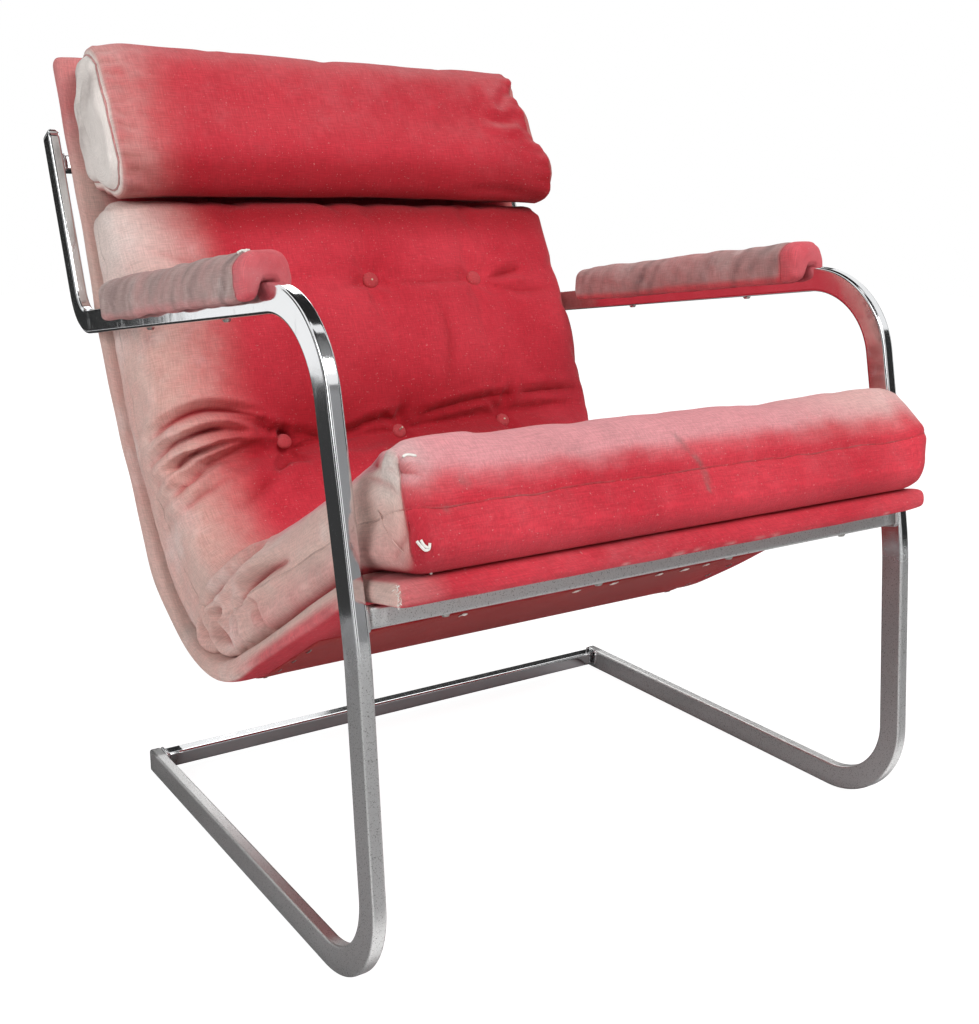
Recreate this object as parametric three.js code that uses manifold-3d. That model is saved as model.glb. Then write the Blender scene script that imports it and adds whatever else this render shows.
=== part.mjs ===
// A cantilever lounge chair: two bent rectangular tube side frames joined by three crossbars,
// a bent plywood shell wrapped in cloth between them, one long tufted cushion, a head roll
// and two padded arm rests.
//
// Millimetres, +Z up. The chair faces -Y and is symmetric about X = 0.
// Side outlines are drawn in (y, z), with y = 0 at the front floor corner of the side frames.

import * as THREE from 'three';
import { mergeVertices } from 'three/addons/utils/BufferGeometryUtils.js';
import Module from 'manifold-3d';

const wasm = await Module();
wasm.setup();

// Overall width and the tubes: rectangular for the side frames, square for the crossbars
const overallWidth = 635;
const tubeWidth = 12.7;
const tubeDepth = 25.4;
const barSide = 17;
const tubeCorner = 2;
const tubeWall = 1.5;

// Side frame, along the centre line of the tube
const runnerLength = 512;
const floorBendRadius = 75;
const legKneeHeight = 294;
const legKneeRadius = 400;
const armCornerHeight = 560;
const armBendRadius = 86;
const armLength = 601;
const armRearRadius = 45;
const uprightLength = 220;
const lowerLegLean = THREE.MathUtils.degToRad(5.5);
const upperLegLean = THREE.MathUtils.degToRad(12.5);
const armFall = THREE.MathUtils.degToRad(7.2);
const uprightRake = THREE.MathUtils.degToRad(21.3);

// Crossbars
const seatBarHeight = 320;
const backBarDrop = 32;
const floorBarRise = 3.2;

// Shell: a plywood board, a padded cloth wrap and a cloth panel on its back
const shellSideGap = 3.8;
const boardThickness = 14;
const wrapThickness = 4;
const wrapEdge = 6;
const wrapCorner = 7;
const wrapReturn = 32;
const wrapFrontReturn = 222;
const lipTilt = THREE.MathUtils.degToRad(11);
const lipReach = 52;
const lipKneeReach = 24;
const lipKneeRadius = 60;
const seatTilt = THREE.MathUtils.degToRad(31.5);
const seatBendRadius = 180;
const lowerBackRake = THREE.MathUtils.degToRad(34.5);
const backKneeHeight = 380;
const backKneeRadius = 450;
const shellTopHeight = 775;

// Lounge cushion: one long pad folded at the seat crease
const cushionWidth = 600;
const cushionLipInset = 5;
const cushionFrontHeight = 451;
const cushionFrontSetback = 42;
const creaseHeight = 358;
const creaseSetback = 525;
const hollowThickness = 92;
const padKneeRise = 45;
const padKneeThickness = 92;
const padTopThickness = 62;
const padEndDrop = 36;
const cushionFrontCrown = 8;
const cushionCrown = 22;
const cushionNose = 24;
const cushionEndRound = 10;
const coverThickness = 14;
const zipWidth = 300;
const zipHeight = 8;

// Half outlines of the cushion's section, as shares of its half width and of its depth
const cushionShares = [
  [0, 0], [0.8, 0], [0.93, 0.03], [0.975, 0.2], [1, 0.47],
  [0.985, 0.76], [0.945, 0.93], [0.8, 1], [0.53, 1], [0.26, 1], [0, 1],
];
const cushionCoreShares = [[0, 0], [0.9, 0], [1, 0.5], [0.9, 1], [0.5, 1], [0, 1]];
const crownStartShare = 0.9;
const cushionEndTurns = [0.7, 1.25];
const coreEndShare = 0.02;

// Head roll, with its section as shares of its depth and of its height, from its foot on the shell
const rollWidth = 570;
const rollDepth = 103;
const rollHeight = 153;
const rollFootDrop = 165;
const rollMiddleShare = 0.45;
const rollShares = [
  [0, 0.02], [0.35, -0.06], [0.72, -0.17], [0.93, -0.14], [1, -0.02], [1, 0.2], [0.97, 0.45],
  [0.98, 0.62], [0.93, 0.78], [0.77, 0.88], [0.55, 0.95], [0.3, 0.99], [0.1, 1], [0, 0.97],
];
const rollCoreShares = [[0, 0], [0.8, -0.12], [1, 0.05], [0.96, 0.7], [0.7, 0.92], [0, 0.95]];
const rollEndShares = [[1, 0.9], [0.985, 0.97], [0.9, 1], [0.6, 1.02], [0.2, 1.03]];

// Buttons, each with a tie through the cushion to a washer at its back
const buttonRadius = 10;
const buttonDome = 4;
const buttonSpacing = 150;
const buttonRowShare = 0.41;
const tuftDepth = 8;
const tuftSpread = 34;
const tieRadius = 1.2;
const washerRadius = 9;
const washerThickness = 2;
const washerLift = 0.7;

// Arm rests: a padded cover that straddles the arm, over a board screwed to it
const padLength = 392;
const padWidth = 47;
const padHeight = 44;
const padSkirtRise = 9.7;
const padEndRound = 15;
const padShares = [[0, 0], [0.8, 0], [1, 0.2], [1, 0.55], [0.86, 0.84], [0.5, 0.97], [0, 1]];
const padEndShares = [[0, 0.7], [0.12, 0.84], [0.45, 0.95], [1, 1]];
const armBoardWidth = 36;
const armBoardThickness = 9;
const armBoardInset = 22;

// Fasteners and end plugs
const screwRadius = 2;
const screwHeadRadius = 4.5;
const screwHeadHeight = 2.4;
const screwHeadShare = 0.6;
const screwPoint = 3;
const shellScrewBite = 9;
const armScrewBite = 6;
const armScrewInset = 97;
const shellScrewInset = 70;
const plugDepth = 14;
const plugFlange = 2.5;
const plugDome = 4;
const plugCrownShares = [[0.45, 0.1], [0.8, 0.28], [1, 0.6]];

// Clearances
const gap = 0.3;
const softGap = 0.4;
const overrun = 5;

// Facets
const cornerSegments = 2;
const bendFacet = THREE.MathUtils.degToRad(9);
const hollowSteps = 6;
const pinSides = 8;
const tieSides = 5;
const buttonSides = 12;

const frameCentreX = (overallWidth - tubeWidth) / 2;
const betweenFrames = overallWidth - 2 * tubeWidth;
const shellWidth = betweenFrames - 2 * shellSideGap;
const shellThickness = boardThickness + 2 * wrapThickness;
const panelThickness = wrapThickness - gap;

const chrome = finish(0xc9ccd0, 0.16, 1);
const blackPlastic = finish(0x202224, 0.5, 0);
const plywood = finish(0xb98f5f, 0.7, 0);
const redCloth = finish(0xb4202f, 0.95, 0);
const fadedCloth = finish(0xc4616a, 0.95, 0);
const armCloth = finish(0x9c7f84, 0.95, 0);
const foam = finish(0xe6d9a8, 0.95, 0);
const steel = finish(0x9a9c9e, 0.4, 1);
const twine = finish(0xd8cfbd, 0.9, 0);

function finish(color, roughness, metalness) {
  return new THREE.MeshStandardMaterial({ color, roughness, metalness });
}

// Side outlines: points, directions and lines in (y, z)

function at(y, z) {
  return new THREE.Vector2(y, z);
}

// Unit vector that rises by an angle above the rearward direction
function heading(angle) {
  return at(Math.cos(angle), Math.sin(angle));
}

function leftOf(direction) {
  return at(-direction.y, direction.x);
}

function along(point, direction, distance) {
  return point.clone().addScaledVector(direction, distance);
}

function crossing(pointA, directionA, pointB, directionB) {
  const between = pointB.clone().sub(pointA);
  const reach = between.cross(directionB) / directionA.cross(directionB);
  return along(pointA, directionA, reach);
}

function directionTo(from, to) {
  return to.clone().sub(from).normalize();
}

// Corners and bend radii of an outline moved to its left by a distance
function offsetOutline({ corners, radii }, distance) {
  const headings = corners.slice(1).map((corner, i) => directionTo(corners[i], corner));
  const moved = corners.map((corner, i) => {
    const before = headings[Math.max(i - 1, 0)];
    const after = headings[Math.min(i, headings.length - 1)];
    const onBefore = along(corner, leftOf(before), distance);
    const onAfter = along(corner, leftOf(after), distance);
    const isEnd = i === 0 || i === corners.length - 1;
    return isEnd ? onBefore : crossing(onBefore, before, onAfter, after);
  });
  const movedRadii = radii.map((radius, i) => {
    const turn = Math.sign(headings[i].cross(headings[i + 1]));
    return radius - turn * distance;
  });
  return { corners: moved, radii: movedRadii };
}

// Outline shortened at its start; a corner that the trim walks past is dropped with its bend
function trimStart({ corners, radii }, trim) {
  const first = corners[0].distanceTo(corners[1]);
  if (trim >= first && radii.length > 0) {
    return trimStart({ corners: corners.slice(1), radii: radii.slice(1) }, trim - first);
  }
  return { corners: [along(corners[0], directionTo(corners[0], corners[1]), trim), ...corners.slice(1)], radii };
}

function flipped({ corners, radii }) {
  return { corners: [...corners].reverse(), radii: [...radii].reverse() };
}

function trimOutline(outline, startTrim, endTrim) {
  return flipped(trimStart(flipped(trimStart(outline, startTrim)), endTrim));
}

// Stations of a polyline whose inner corners are rounded: a point and a tangent at each
function roundedStations({ corners, radii }) {
  const stations = [{ point: corners[0], tangent: directionTo(corners[0], corners[1]) }];
  radii.forEach((radius, i) => {
    const corner = corners[i + 1];
    const before = directionTo(corners[i], corner);
    const after = directionTo(corner, corners[i + 2]);
    const turn = Math.atan2(before.cross(after), before.dot(after));
    const steps = Math.max(2, Math.ceil(Math.abs(turn) / bendFacet));
    const tangentLength = radius * Math.tan(Math.abs(turn) / 2);
    const start = along(corner, before, -tangentLength);
    const centre = along(start, leftOf(before), radius * Math.sign(turn));
    for (let step = 0; step <= steps; step += 1) {
      const angle = (turn * step) / steps;
      const point = start.clone().rotateAround(centre, angle);
      const tangent = before.clone().rotateAround(new THREE.Vector2(), angle);
      stations.push({ point, tangent });
    }
  });
  const last = corners.length - 1;
  stations.push({ point: corners[last], tangent: directionTo(corners[last - 1], corners[last]) });
  return stations;
}

// A curve through given stations, one for each step of an extrusion, that keeps the section's x
// across the chair and its y to the outline's left
class StationCurve extends THREE.Curve {
  constructor(stations) {
    super();
    this.stations = stations;
  }

  getPointAt(share, target = new THREE.Vector3()) {
    const { point } = this.stations[Math.round(share * (this.stations.length - 1))];
    return target.set(0, point.x, point.y);
  }

  computeFrenetFrames() {
    return {
      tangents: this.stations.map(({ tangent }) => new THREE.Vector3(0, tangent.x, tangent.y)),
      normals: this.stations.map(() => new THREE.Vector3(-1, 0, 0)),
      binormals: this.stations.map(({ tangent }) => new THREE.Vector3(0, -tangent.y, tangent.x)),
    };
  }
}

// Sweeps a section along an outline
function sweep(section, outline) {
  const stations = roundedStations(outline);
  return new THREE.ExtrudeGeometry(section, {
    steps: stations.length - 1,
    curveSegments: cornerSegments,
    extrudePath: new StationCurve(stations),
  });
}

function roundedRectangle(width, height, radius, shape = new THREE.Shape()) {
  const x = width / 2;
  const y = height / 2;
  shape.moveTo(-x + radius, -y);
  shape.lineTo(x - radius, -y);
  shape.absarc(x - radius, -y + radius, radius, -Math.PI / 2, 0);
  shape.lineTo(x, y - radius);
  shape.absarc(x - radius, y - radius, radius, 0, Math.PI / 2);
  shape.lineTo(-x + radius, y);
  shape.absarc(-x + radius, y - radius, radius, Math.PI / 2, Math.PI);
  shape.lineTo(-x, -y + radius);
  shape.absarc(-x + radius, -y + radius, radius, Math.PI, (3 * Math.PI) / 2);
  return shape;
}

function rectangle(left, right, bottom, top) {
  return new THREE.Shape([at(left, bottom), at(right, bottom), at(right, top), at(left, top)]);
}

function tubeSection(width, depth) {
  const section = roundedRectangle(width, depth, tubeCorner);
  const x = width / 2 - tubeWall;
  const y = depth / 2 - tubeWall;
  section.holes.push(new THREE.Path([at(-x, -y), at(-x, y), at(x, y), at(x, -y)]));
  return section;
}

// Solids to and from the boolean library
function toSolid(geometry) {
  const bare = geometry.clone();
  bare.deleteAttribute('normal');
  bare.deleteAttribute('uv');
  const merged = mergeVertices(bare);
  const vertProperties = new Float32Array(merged.attributes.position.array);
  const triVerts = new Uint32Array(merged.index.array);
  return new wasm.Manifold(new wasm.Mesh({ numProp: 3, vertProperties, triVerts }));
}

function toGeometry(solid) {
  const mesh = solid.getMesh();
  const geometry = new THREE.BufferGeometry();
  geometry.setAttribute('position', new THREE.BufferAttribute(mesh.vertProperties, 3));
  geometry.setIndex(new THREE.BufferAttribute(mesh.triVerts, 1));
  return geometry;
}

function cut(geometry, tools) {
  return toGeometry(tools.reduce((solid, tool) => solid.subtract(toSolid(tool)), toSolid(geometry)));
}

// Joins equal rings of points into one closed body, with a flat fan on each end ring
function loft(rings) {
  const size = rings[0].length;
  const positions = rings.flat().flatMap((point) => point.toArray());
  const index = [];
  for (let ring = 0; ring < rings.length - 1; ring += 1) {
    for (let i = 0; i < size; i += 1) {
      const a = ring * size + i;
      const b = ring * size + ((i + 1) % size);
      index.push(a, b, b + size, a, b + size, a + size);
    }
  }
  [0, rings.length - 1].forEach((ring) => {
    const middle = new THREE.Vector3();
    rings[ring].forEach((point) => middle.addScaledVector(point, 1 / size));
    const hub = positions.length / 3;
    positions.push(...middle.toArray());
    for (let i = 0; i < size; i += 1) {
      const a = ring * size + i;
      const b = ring * size + ((i + 1) % size);
      index.push(...(ring === 0 ? [hub, b, a] : [hub, a, b]));
    }
  });
  const geometry = new THREE.BufferGeometry();
  geometry.setAttribute('position', new THREE.Float32BufferAttribute(positions, 3));
  geometry.setIndex(index);
  return geometry;
}

// Closed ring from a half outline that runs from the middle of the bottom to the middle of the top
function mirroredRing(half) {
  const other = half.slice(1, -1).reverse().map(([across, up]) => [-across, up]);
  return [...half, ...other];
}

const chair = new THREE.Group();

function addPart(name, geometry, material, x = 0) {
  const part = new THREE.Mesh(geometry, material);
  part.name = name;
  part.position.x = x;
  chair.add(part);
}

// Adds alike pieces, numbered from the first
function addRow(name, geometries, material, x = 0) {
  geometries.forEach((geometry, i) => addPart(`${name}_${i + 1}`, geometry, material, x));
}

// Turns a piece that is drawn along +Z so that it points along a heading in the side plane,
// and moves it to its place there
function place(geometry, x, point, direction) {
  const axis = new THREE.Vector3(0, direction.x, direction.y);
  const turn = new THREE.Quaternion().setFromUnitVectors(new THREE.Vector3(0, 0, 1), axis);
  return geometry.applyQuaternion(turn).translate(x, point.x, point.y);
}

// Round pieces that stand on z = 0
function pin(radius, length, sides = pinSides) {
  return new THREE.CylinderGeometry(radius, radius, length, sides).rotateX(Math.PI / 2).translate(0, 0, length / 2);
}

// Pocket around a round piece, clear of it along the middles of the pocket's sides too
function socket(radius, length, sides = pinSides) {
  return pin((radius + softGap) / Math.cos(Math.PI / sides), length, sides);
}

function turned(profile, sides = pinSides) {
  return new THREE.LatheGeometry(profile.map(([radius, height]) => at(radius, height)), sides).rotateX(Math.PI / 2);
}

// Screw with the underside of its head at z = 0
function screw(length) {
  return turned([
    [0, -screwHeadHeight],
    [screwHeadRadius * screwHeadShare, -screwHeadHeight],
    [screwHeadRadius, 0],
    [screwRadius, 0],
    [screwRadius, length - screwPoint],
    [0, length],
  ]);
}

// Hole for a screw, through everything in front of its point
function screwHole(length) {
  return pin(screwRadius + gap, length + gap + overrun).translate(0, 0, -overrun);
}


// Side frame outline
const backward = heading(0);
const upFloorLeg = heading(Math.PI / 2 - lowerLegLean);
const upArmLeg = heading(Math.PI / 2 - upperLegLean);
const downArm = heading(-armFall);
const upUpright = heading(Math.PI / 2 - uprightRake);

const floorCorner = at(0, tubeDepth / 2);
const runnerEnd = along(floorCorner, backward, runnerLength);
const legKnee = along(floorCorner, upFloorLeg, (legKneeHeight - floorCorner.y) / upFloorLeg.y);
const armCorner = along(legKnee, upArmLeg, (armCornerHeight - legKnee.y) / upArmLeg.y);
const armRearCorner = along(armCorner, downArm, armLength);
const uprightTop = along(armRearCorner, upUpright, uprightLength);

const frameOutline = {
  corners: [runnerEnd, floorCorner, legKnee, armCorner, armRearCorner, uprightTop],
  radii: [floorBendRadius, legKneeRadius, armBendRadius, armRearRadius],
};

// Arm rest stations, along the straight part of the arm behind its front bend
const armTurn = Math.PI / 2 - upperLegLean + armFall;
const padStart = along(armCorner, downArm, armBendRadius * Math.tan(armTurn / 2));
const upFromArm = leftOf(downArm);

function onArm(distance, rise) {
  return along(along(padStart, downArm, distance), upFromArm, rise);
}

const armScrewStart = -tubeDepth / 2 - gap;
const armScrewLength = tubeDepth + 2 * gap + armScrewBite;
const armScrewPlaces = [armScrewInset, padLength - armScrewInset];
const armHoles = armScrewPlaces.map((distance) =>
  place(screwHole(armScrewLength), 0, onArm(distance, armScrewStart), upFromArm),
);

const sideFrame = cut(sweep(tubeSection(tubeWidth, tubeDepth), frameOutline), armHoles);
addPart('side_frame_left', sideFrame, chrome, -frameCentreX);
addPart('side_frame_right', sideFrame.clone(), chrome, frameCentreX);

// Crossbars, across the chair, with their faces square to a heading
const seatBarCentre = along(legKnee, upArmLeg, (seatBarHeight - legKnee.y) / upArmLeg.y);
const backBarCentre = along(uprightTop, upUpright, -backBarDrop);
const floorBarCentre = at(runnerEnd.x - barSide / 2, runnerEnd.y + floorBarRise);
const barLength = betweenFrames - 2 * gap;

function crossbar(centre, faceHeading) {
  const bar = new THREE.ExtrudeGeometry(tubeSection(barSide, barSide), {
    depth: barLength,
    bevelEnabled: false,
    curveSegments: cornerSegments,
  });
  bar.translate(0, 0, -barLength / 2).rotateY(Math.PI / 2);
  bar.rotateX(Math.atan2(faceHeading.y, faceHeading.x));
  return bar.translate(0, centre.x, centre.y);
}

const lipHeading = heading(-lipTilt);
const upFromLip = leftOf(lipHeading);
const forwardFromBack = leftOf(upUpright);
const shellScrewPlaces = [-1, -1 / 3, 1 / 3, 1].map((share) => share * (shellWidth / 2 - shellScrewInset));

// Shell screws, from the far side of each bar into the board
const shellScrewLength = barSide + 2 * gap + wrapThickness + shellScrewBite;
const seatScrewStart = along(seatBarCentre, upFromLip, -barSide / 2 - gap);
const backScrewStart = along(backBarCentre, forwardFromBack, -barSide / 2 - gap);

function shellRow(piece, start, direction) {
  return shellScrewPlaces.map((x) => place(piece(shellScrewLength), x, start, direction));
}

const seatHoles = shellRow(screwHole, seatScrewStart, upFromLip);
const backHoles = shellRow(screwHole, backScrewStart, forwardFromBack);
const shellHoles = [...seatHoles, ...backHoles];

addPart('floor_crossbar', crossbar(floorBarCentre, backward), chrome);
addPart('seat_crossbar', cut(crossbar(seatBarCentre, lipHeading), seatHoles), chrome);
addPart('back_crossbar', cut(crossbar(backBarCentre, upUpright), backHoles), chrome);
addRow('seat_bar_screw', shellRow(screw, seatScrewStart, upFromLip), steel);
addRow('back_bar_screw', shellRow(screw, backScrewStart, forwardFromBack), steel);

// End plugs pressed into the open tube ends: a stem, a flange and a crown
function plug(domeHeight) {
  const inset = tubeWall + gap;
  const rings = [
    [-plugDepth, inset],
    [gap, inset],
    [gap, gap],
    [plugFlange, gap],
    ...plugCrownShares.map(([rise, share]) => [plugFlange + rise * domeHeight, (share * tubeWidth) / 2]),
  ];
  return loft(rings.map(([height, ringInset]) => plugRing(ringInset, height)));
}

// Ring with cut corners, set in from the outline of the tube
function plugRing(inset, height) {
  const x = tubeWidth / 2 - inset;
  const y = tubeDepth / 2 - inset;
  const chamfer = Math.min(tubeCorner, x) / 2;
  const corners = [
    [x, -y + chamfer], [x, y - chamfer], [x - chamfer, y], [-x + chamfer, y],
    [-x, y - chamfer], [-x, -y + chamfer], [-x + chamfer, -y], [x - chamfer, -y],
  ];
  return corners.map(([across, deep]) => new THREE.Vector3(across, deep, height));
}

for (const [side, x] of [['left', -frameCentreX], ['right', frameCentreX]]) {
  addPart(`runner_plug_${side}`, place(plug(gap), 0, runnerEnd, backward), blackPlastic, x);
  addPart(`upright_plug_${side}`, place(plug(plugDome), 0, uprightTop, upUpright), chrome, x);
}

// Shell outline, along its back and underside; it lies on the seat crossbar and on the back crossbar
const seatContact = along(seatBarCentre, upFromLip, barSide / 2 + gap);
const backContact = along(backBarCentre, forwardFromBack, barSide / 2 + gap);
const downSeat = heading(-seatTilt);
const upLowerBack = heading(Math.PI / 2 - lowerBackRake);

const lipFront = along(seatContact, lipHeading, -lipReach);
const lipKnee = along(seatContact, lipHeading, lipKneeReach);
const backKnee = along(backContact, upUpright, (backKneeHeight - backContact.y) / upUpright.y);
const seatCorner = crossing(lipKnee, downSeat, backKnee, upLowerBack);
const shellTop = along(backKnee, upUpright, (shellTopHeight - backKnee.y) / upUpright.y);

const shellUnderside = {
  corners: [lipFront, lipKnee, seatCorner, backKnee, shellTop],
  radii: [lipKneeRadius, seatBendRadius, backKneeRadius],
};
const shellMiddle = offsetOutline(shellUnderside, shellThickness / 2);

// Board, wrap and back panel, with the panel in a window of the wrap
const boardHalf = boardThickness / 2;
const pocketHalf = shellWidth / 2 - wrapEdge;
const windowHalf = shellWidth / 2 - wrapReturn;
const panelBack = -shellThickness / 2;

const boardSection = rectangle(-pocketHalf + gap, pocketHalf - gap, -boardHalf, boardHalf);
const pocketSection = rectangle(-pocketHalf, pocketHalf, -boardHalf - gap, boardHalf + gap);
const windowSection = rectangle(-windowHalf, windowHalf, panelBack - overrun, 0);
const panelSection = rectangle(-windowHalf + softGap, windowHalf - softGap, panelBack, panelBack + panelThickness);

const board = sweep(boardSection, trimOutline(shellMiddle, wrapEdge + gap, wrapEdge + gap));
const wrap = sweep(roundedRectangle(shellWidth, shellThickness, wrapCorner), shellMiddle);
const pocket = sweep(pocketSection, trimOutline(shellMiddle, wrapEdge, wrapEdge));
const backWindow = sweep(windowSection, trimOutline(shellMiddle, wrapFrontReturn, wrapReturn));
const panel = sweep(panelSection, trimOutline(shellMiddle, wrapFrontReturn + softGap, wrapReturn + softGap));

addPart('shell_board', cut(board, shellHoles), plywood);
addPart('shell_wrap', cut(wrap, [pocket, backWindow, ...shellHoles]), fadedCloth);
addPart('shell_back_panel', cut(panel, backHoles), redCloth);

// Lounge cushion: its back follows the shell, its top runs from the front edge down to the seat
// crease and up the back, and each station pairs a point of the back with one of the top
const cushionBack = trimOutline(
  offsetOutline(shellUnderside, shellThickness + gap),
  cushionLipInset,
  rollFootDrop + padEndDrop,
);
const [, , bendCorner, kneeCorner, backEnd] = cushionBack.corners;
const kneeFoot = along(kneeCorner, upUpright, padKneeRise);
const topStart = at(lipFront.x + cushionFrontSetback, cushionFrontHeight);
const crease = at(lipFront.x + creaseSetback, creaseHeight);
const padKnee = along(kneeFoot, forwardFromBack, padKneeThickness);
const topEnd = along(backEnd, forwardFromBack, padTopThickness);

// Distances along the cushion's back, with each bend followed by its facets
const backPoints = roundedStations(cushionBack).map(({ point }) => point);
const backLengths = backPoints.slice(1).map((point, i) => point.distanceTo(backPoints[i]));
const backTotal = backLengths.reduce((sum, length) => sum + length, 0);

function backAt(distance) {
  let left = distance;
  let i = 0;
  while (i < backLengths.length - 1 && left > backLengths[i]) {
    left -= backLengths[i];
    i += 1;
  }
  return backPoints[i].clone().lerp(backPoints[i + 1], Math.min(left / backLengths[i], 1));
}

// Distance along the cushion's back, from a given one on, at which it comes nearest to a point
function nearestBack(target, from = 0) {
  let best = { away: Infinity, distance: 0 };
  let walked = 0;
  backLengths.forEach((length, i) => {
    const direction = directionTo(backPoints[i], backPoints[i + 1]);
    const reach = THREE.MathUtils.clamp(target.clone().sub(backPoints[i]).dot(direction), 0, length);
    const away = along(backPoints[i], direction, reach).distanceTo(target);
    if (away < best.away && walked + reach >= from) best = { away, distance: walked + reach };
    walked += length;
  });
  return best.distance;
}

// The seat's hollow follows the shell's bend up to the crease
const seatTurn = seatTilt + Math.PI / 2 - lowerBackRake;
const seatBendReach = cushionBack.radii[1] * Math.tan(seatTurn / 2);
const bendStart = nearestBack(along(bendCorner, downSeat, -seatBendReach));
const bendEnd = nearestBack(along(bendCorner, upLowerBack, seatBendReach));
const creaseDistance = nearestBack(crease, bendStart);
const creaseThickness = crease.distanceTo(backAt(creaseDistance));
const kneeDistance = nearestBack(kneeFoot);

function hollowAt(share) {
  const back = THREE.MathUtils.lerp(bendStart, creaseDistance, share);
  const turn = seatTurn * Math.min((back - bendStart) / (bendEnd - bendStart), 1);
  const thickness = THREE.MathUtils.lerp(hollowThickness, creaseThickness, share);
  return { back, top: along(backAt(back), leftOf(heading(turn - seatTilt)), thickness) };
}

const hollow = [...Array(hollowSteps + 1).keys()].map((i) => hollowAt(i / hollowSteps));
const hollowRuns = hollow.slice(1).map((after, i) => {
  const before = hollow[i];
  return { tops: [before.top, after.top], backs: [before.back, after.back], steps: 1 };
});

// The upper row of buttons lies part of the way up the pad
const rowPoint = padKnee.clone().lerp(topEnd, buttonRowShare);
const rowDistance = THREE.MathUtils.lerp(kneeDistance, backTotal, buttonRowShare);

const cushionRuns = [
  { tops: [topStart, hollow[0].top], backs: [0, bendStart], steps: 6 },
  ...hollowRuns,
  { tops: [crease, padKnee], backs: [creaseDistance, kneeDistance], steps: 3 },
  { tops: [padKnee, rowPoint], backs: [kneeDistance, rowDistance], steps: 3 },
  { tops: [rowPoint, topEnd], backs: [rowDistance, backTotal], steps: 3 },
];

const cushionStations = cushionRuns.flatMap(({ tops, backs, steps }, run) => {
  const shares = [...Array(steps + 1).keys()].map((i) => i / steps).slice(run === 0 ? 0 : 1);
  return shares.map((share) => ({
    back: backAt(THREE.MathUtils.lerp(...backs, share)),
    top: tops[0].clone().lerp(tops[1], share),
    narrowing: 0,
  }));
});

// Rounded end beyond an end station: it narrows like a quarter circle as it reaches out
function roundedEnd({ back, top }, reach) {
  const middle = back.clone().lerp(top, 0.5);
  const outward = leftOf(directionTo(back, top));
  return cushionEndTurns.map((turn) => {
    const move = (point) => along(middle.clone().lerp(point, Math.cos(turn)), outward, reach * Math.sin(turn));
    return { back: move(back), top: move(top), narrowing: 1 - Math.cos(turn) };
  });
}

const noseStations = roundedEnd(cushionStations[0], cushionNose).reverse();
const tailStations = roundedEnd(cushionStations.at(-1), -cushionEndRound);
const buttonPlaces = [-buttonSpacing, 0, buttonSpacing];

// The crown grows from the front edge to the seat crease
function crownAt(top, share) {
  const reach = Math.min(top.distanceTo(topStart) / crease.distanceTo(topStart), 1);
  return THREE.MathUtils.lerp(cushionFrontCrown, cushionCrown, reach) * (1 - share * share);
}

function dipAt(top, across) {
  const reaches = [crease, rowPoint].flatMap((row) =>
    buttonPlaces.map((x) => Math.hypot(top.distanceTo(row), across - x)),
  );
  return tuftDepth * Math.exp(-((Math.min(...reaches) / tuftSpread) ** 2));
}

function cushionRing({ back, top, narrowing }, shares, inset) {
  const up = directionTo(back, top);
  const depth = back.distanceTo(top) - 2 * inset;
  const halfWidth = cushionWidth / 2 - inset - narrowing * cushionEndRound;
  return mirroredRing(shares).map(([acrossShare, depthShare]) => {
    const across = acrossShare * halfWidth;
    const swell = depthShare > crownStartShare ? crownAt(top, acrossShare) - dipAt(top, across) : 0;
    const point = along(back, up, inset + depthShare * depth + swell * (1 - narrowing));
    return new THREE.Vector3(-across, point.x, point.y);
  });
}

function cushionBody(stations, shares, inset) {
  return loft(stations.map((station) => cushionRing(station, shares, inset)));
}

function between(near, far, share) {
  return { back: near.back.clone().lerp(far.back, share), top: near.top.clone().lerp(far.top, share), narrowing: 0 };
}

const cavityStations = cushionStations.filter((station, i) => i % 2 === 1);
const coreStations = [
  between(cavityStations[0], cavityStations[1], coreEndShare),
  ...cavityStations.slice(1, -1),
  between(cavityStations.at(-1), cavityStations.at(-2), coreEndShare),
];
const cushionCover = cushionBody([...noseStations, ...cushionStations, ...tailStations], cushionShares, 0);
const cushionCavity = cushionBody(cavityStations, cushionCoreShares, coverThickness);
const cushionCore = cushionBody(coreStations, cushionCoreShares, coverThickness + softGap);

// Slot for the zip in the cushion's upper end
const zipReach = 4 * coverThickness;
const cushionZip = place(
  new THREE.BoxGeometry(zipWidth, zipHeight, 2 * zipReach),
  0,
  backEnd.clone().lerp(topEnd, 0.5),
  upUpright,
);

// Buttons, ties and washers; each tie runs square to the back from the button to its washer
const tufts = [
  { top: crease, under: backAt(creaseDistance) },
  { top: rowPoint, under: backAt(rowDistance) },
].flatMap(({ top, under }) =>
  buttonPlaces.map((x) => {
    const head = along(top, directionTo(under, top), crownAt(top, (2 * x) / cushionWidth) - tuftDepth);
    const back = backAt(nearestBack(head, bendStart));
    return { x, back, up: directionTo(back, head), depth: head.distanceTo(back) };
  }),
);

// Places a piece of a tuft at a distance from the cushion's back
function atTuft({ x, back, up }, piece, distance) {
  return place(piece, x, along(back, up, distance), up);
}

function button() {
  return turned([
    [0, 0],
    [buttonRadius * 0.96, 0],
    [buttonRadius, buttonDome * 0.35],
    [buttonRadius * 0.8, buttonDome * 0.75],
    [buttonRadius * 0.45, buttonDome * 0.96],
    [0, buttonDome],
  ], buttonSides);
}

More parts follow.
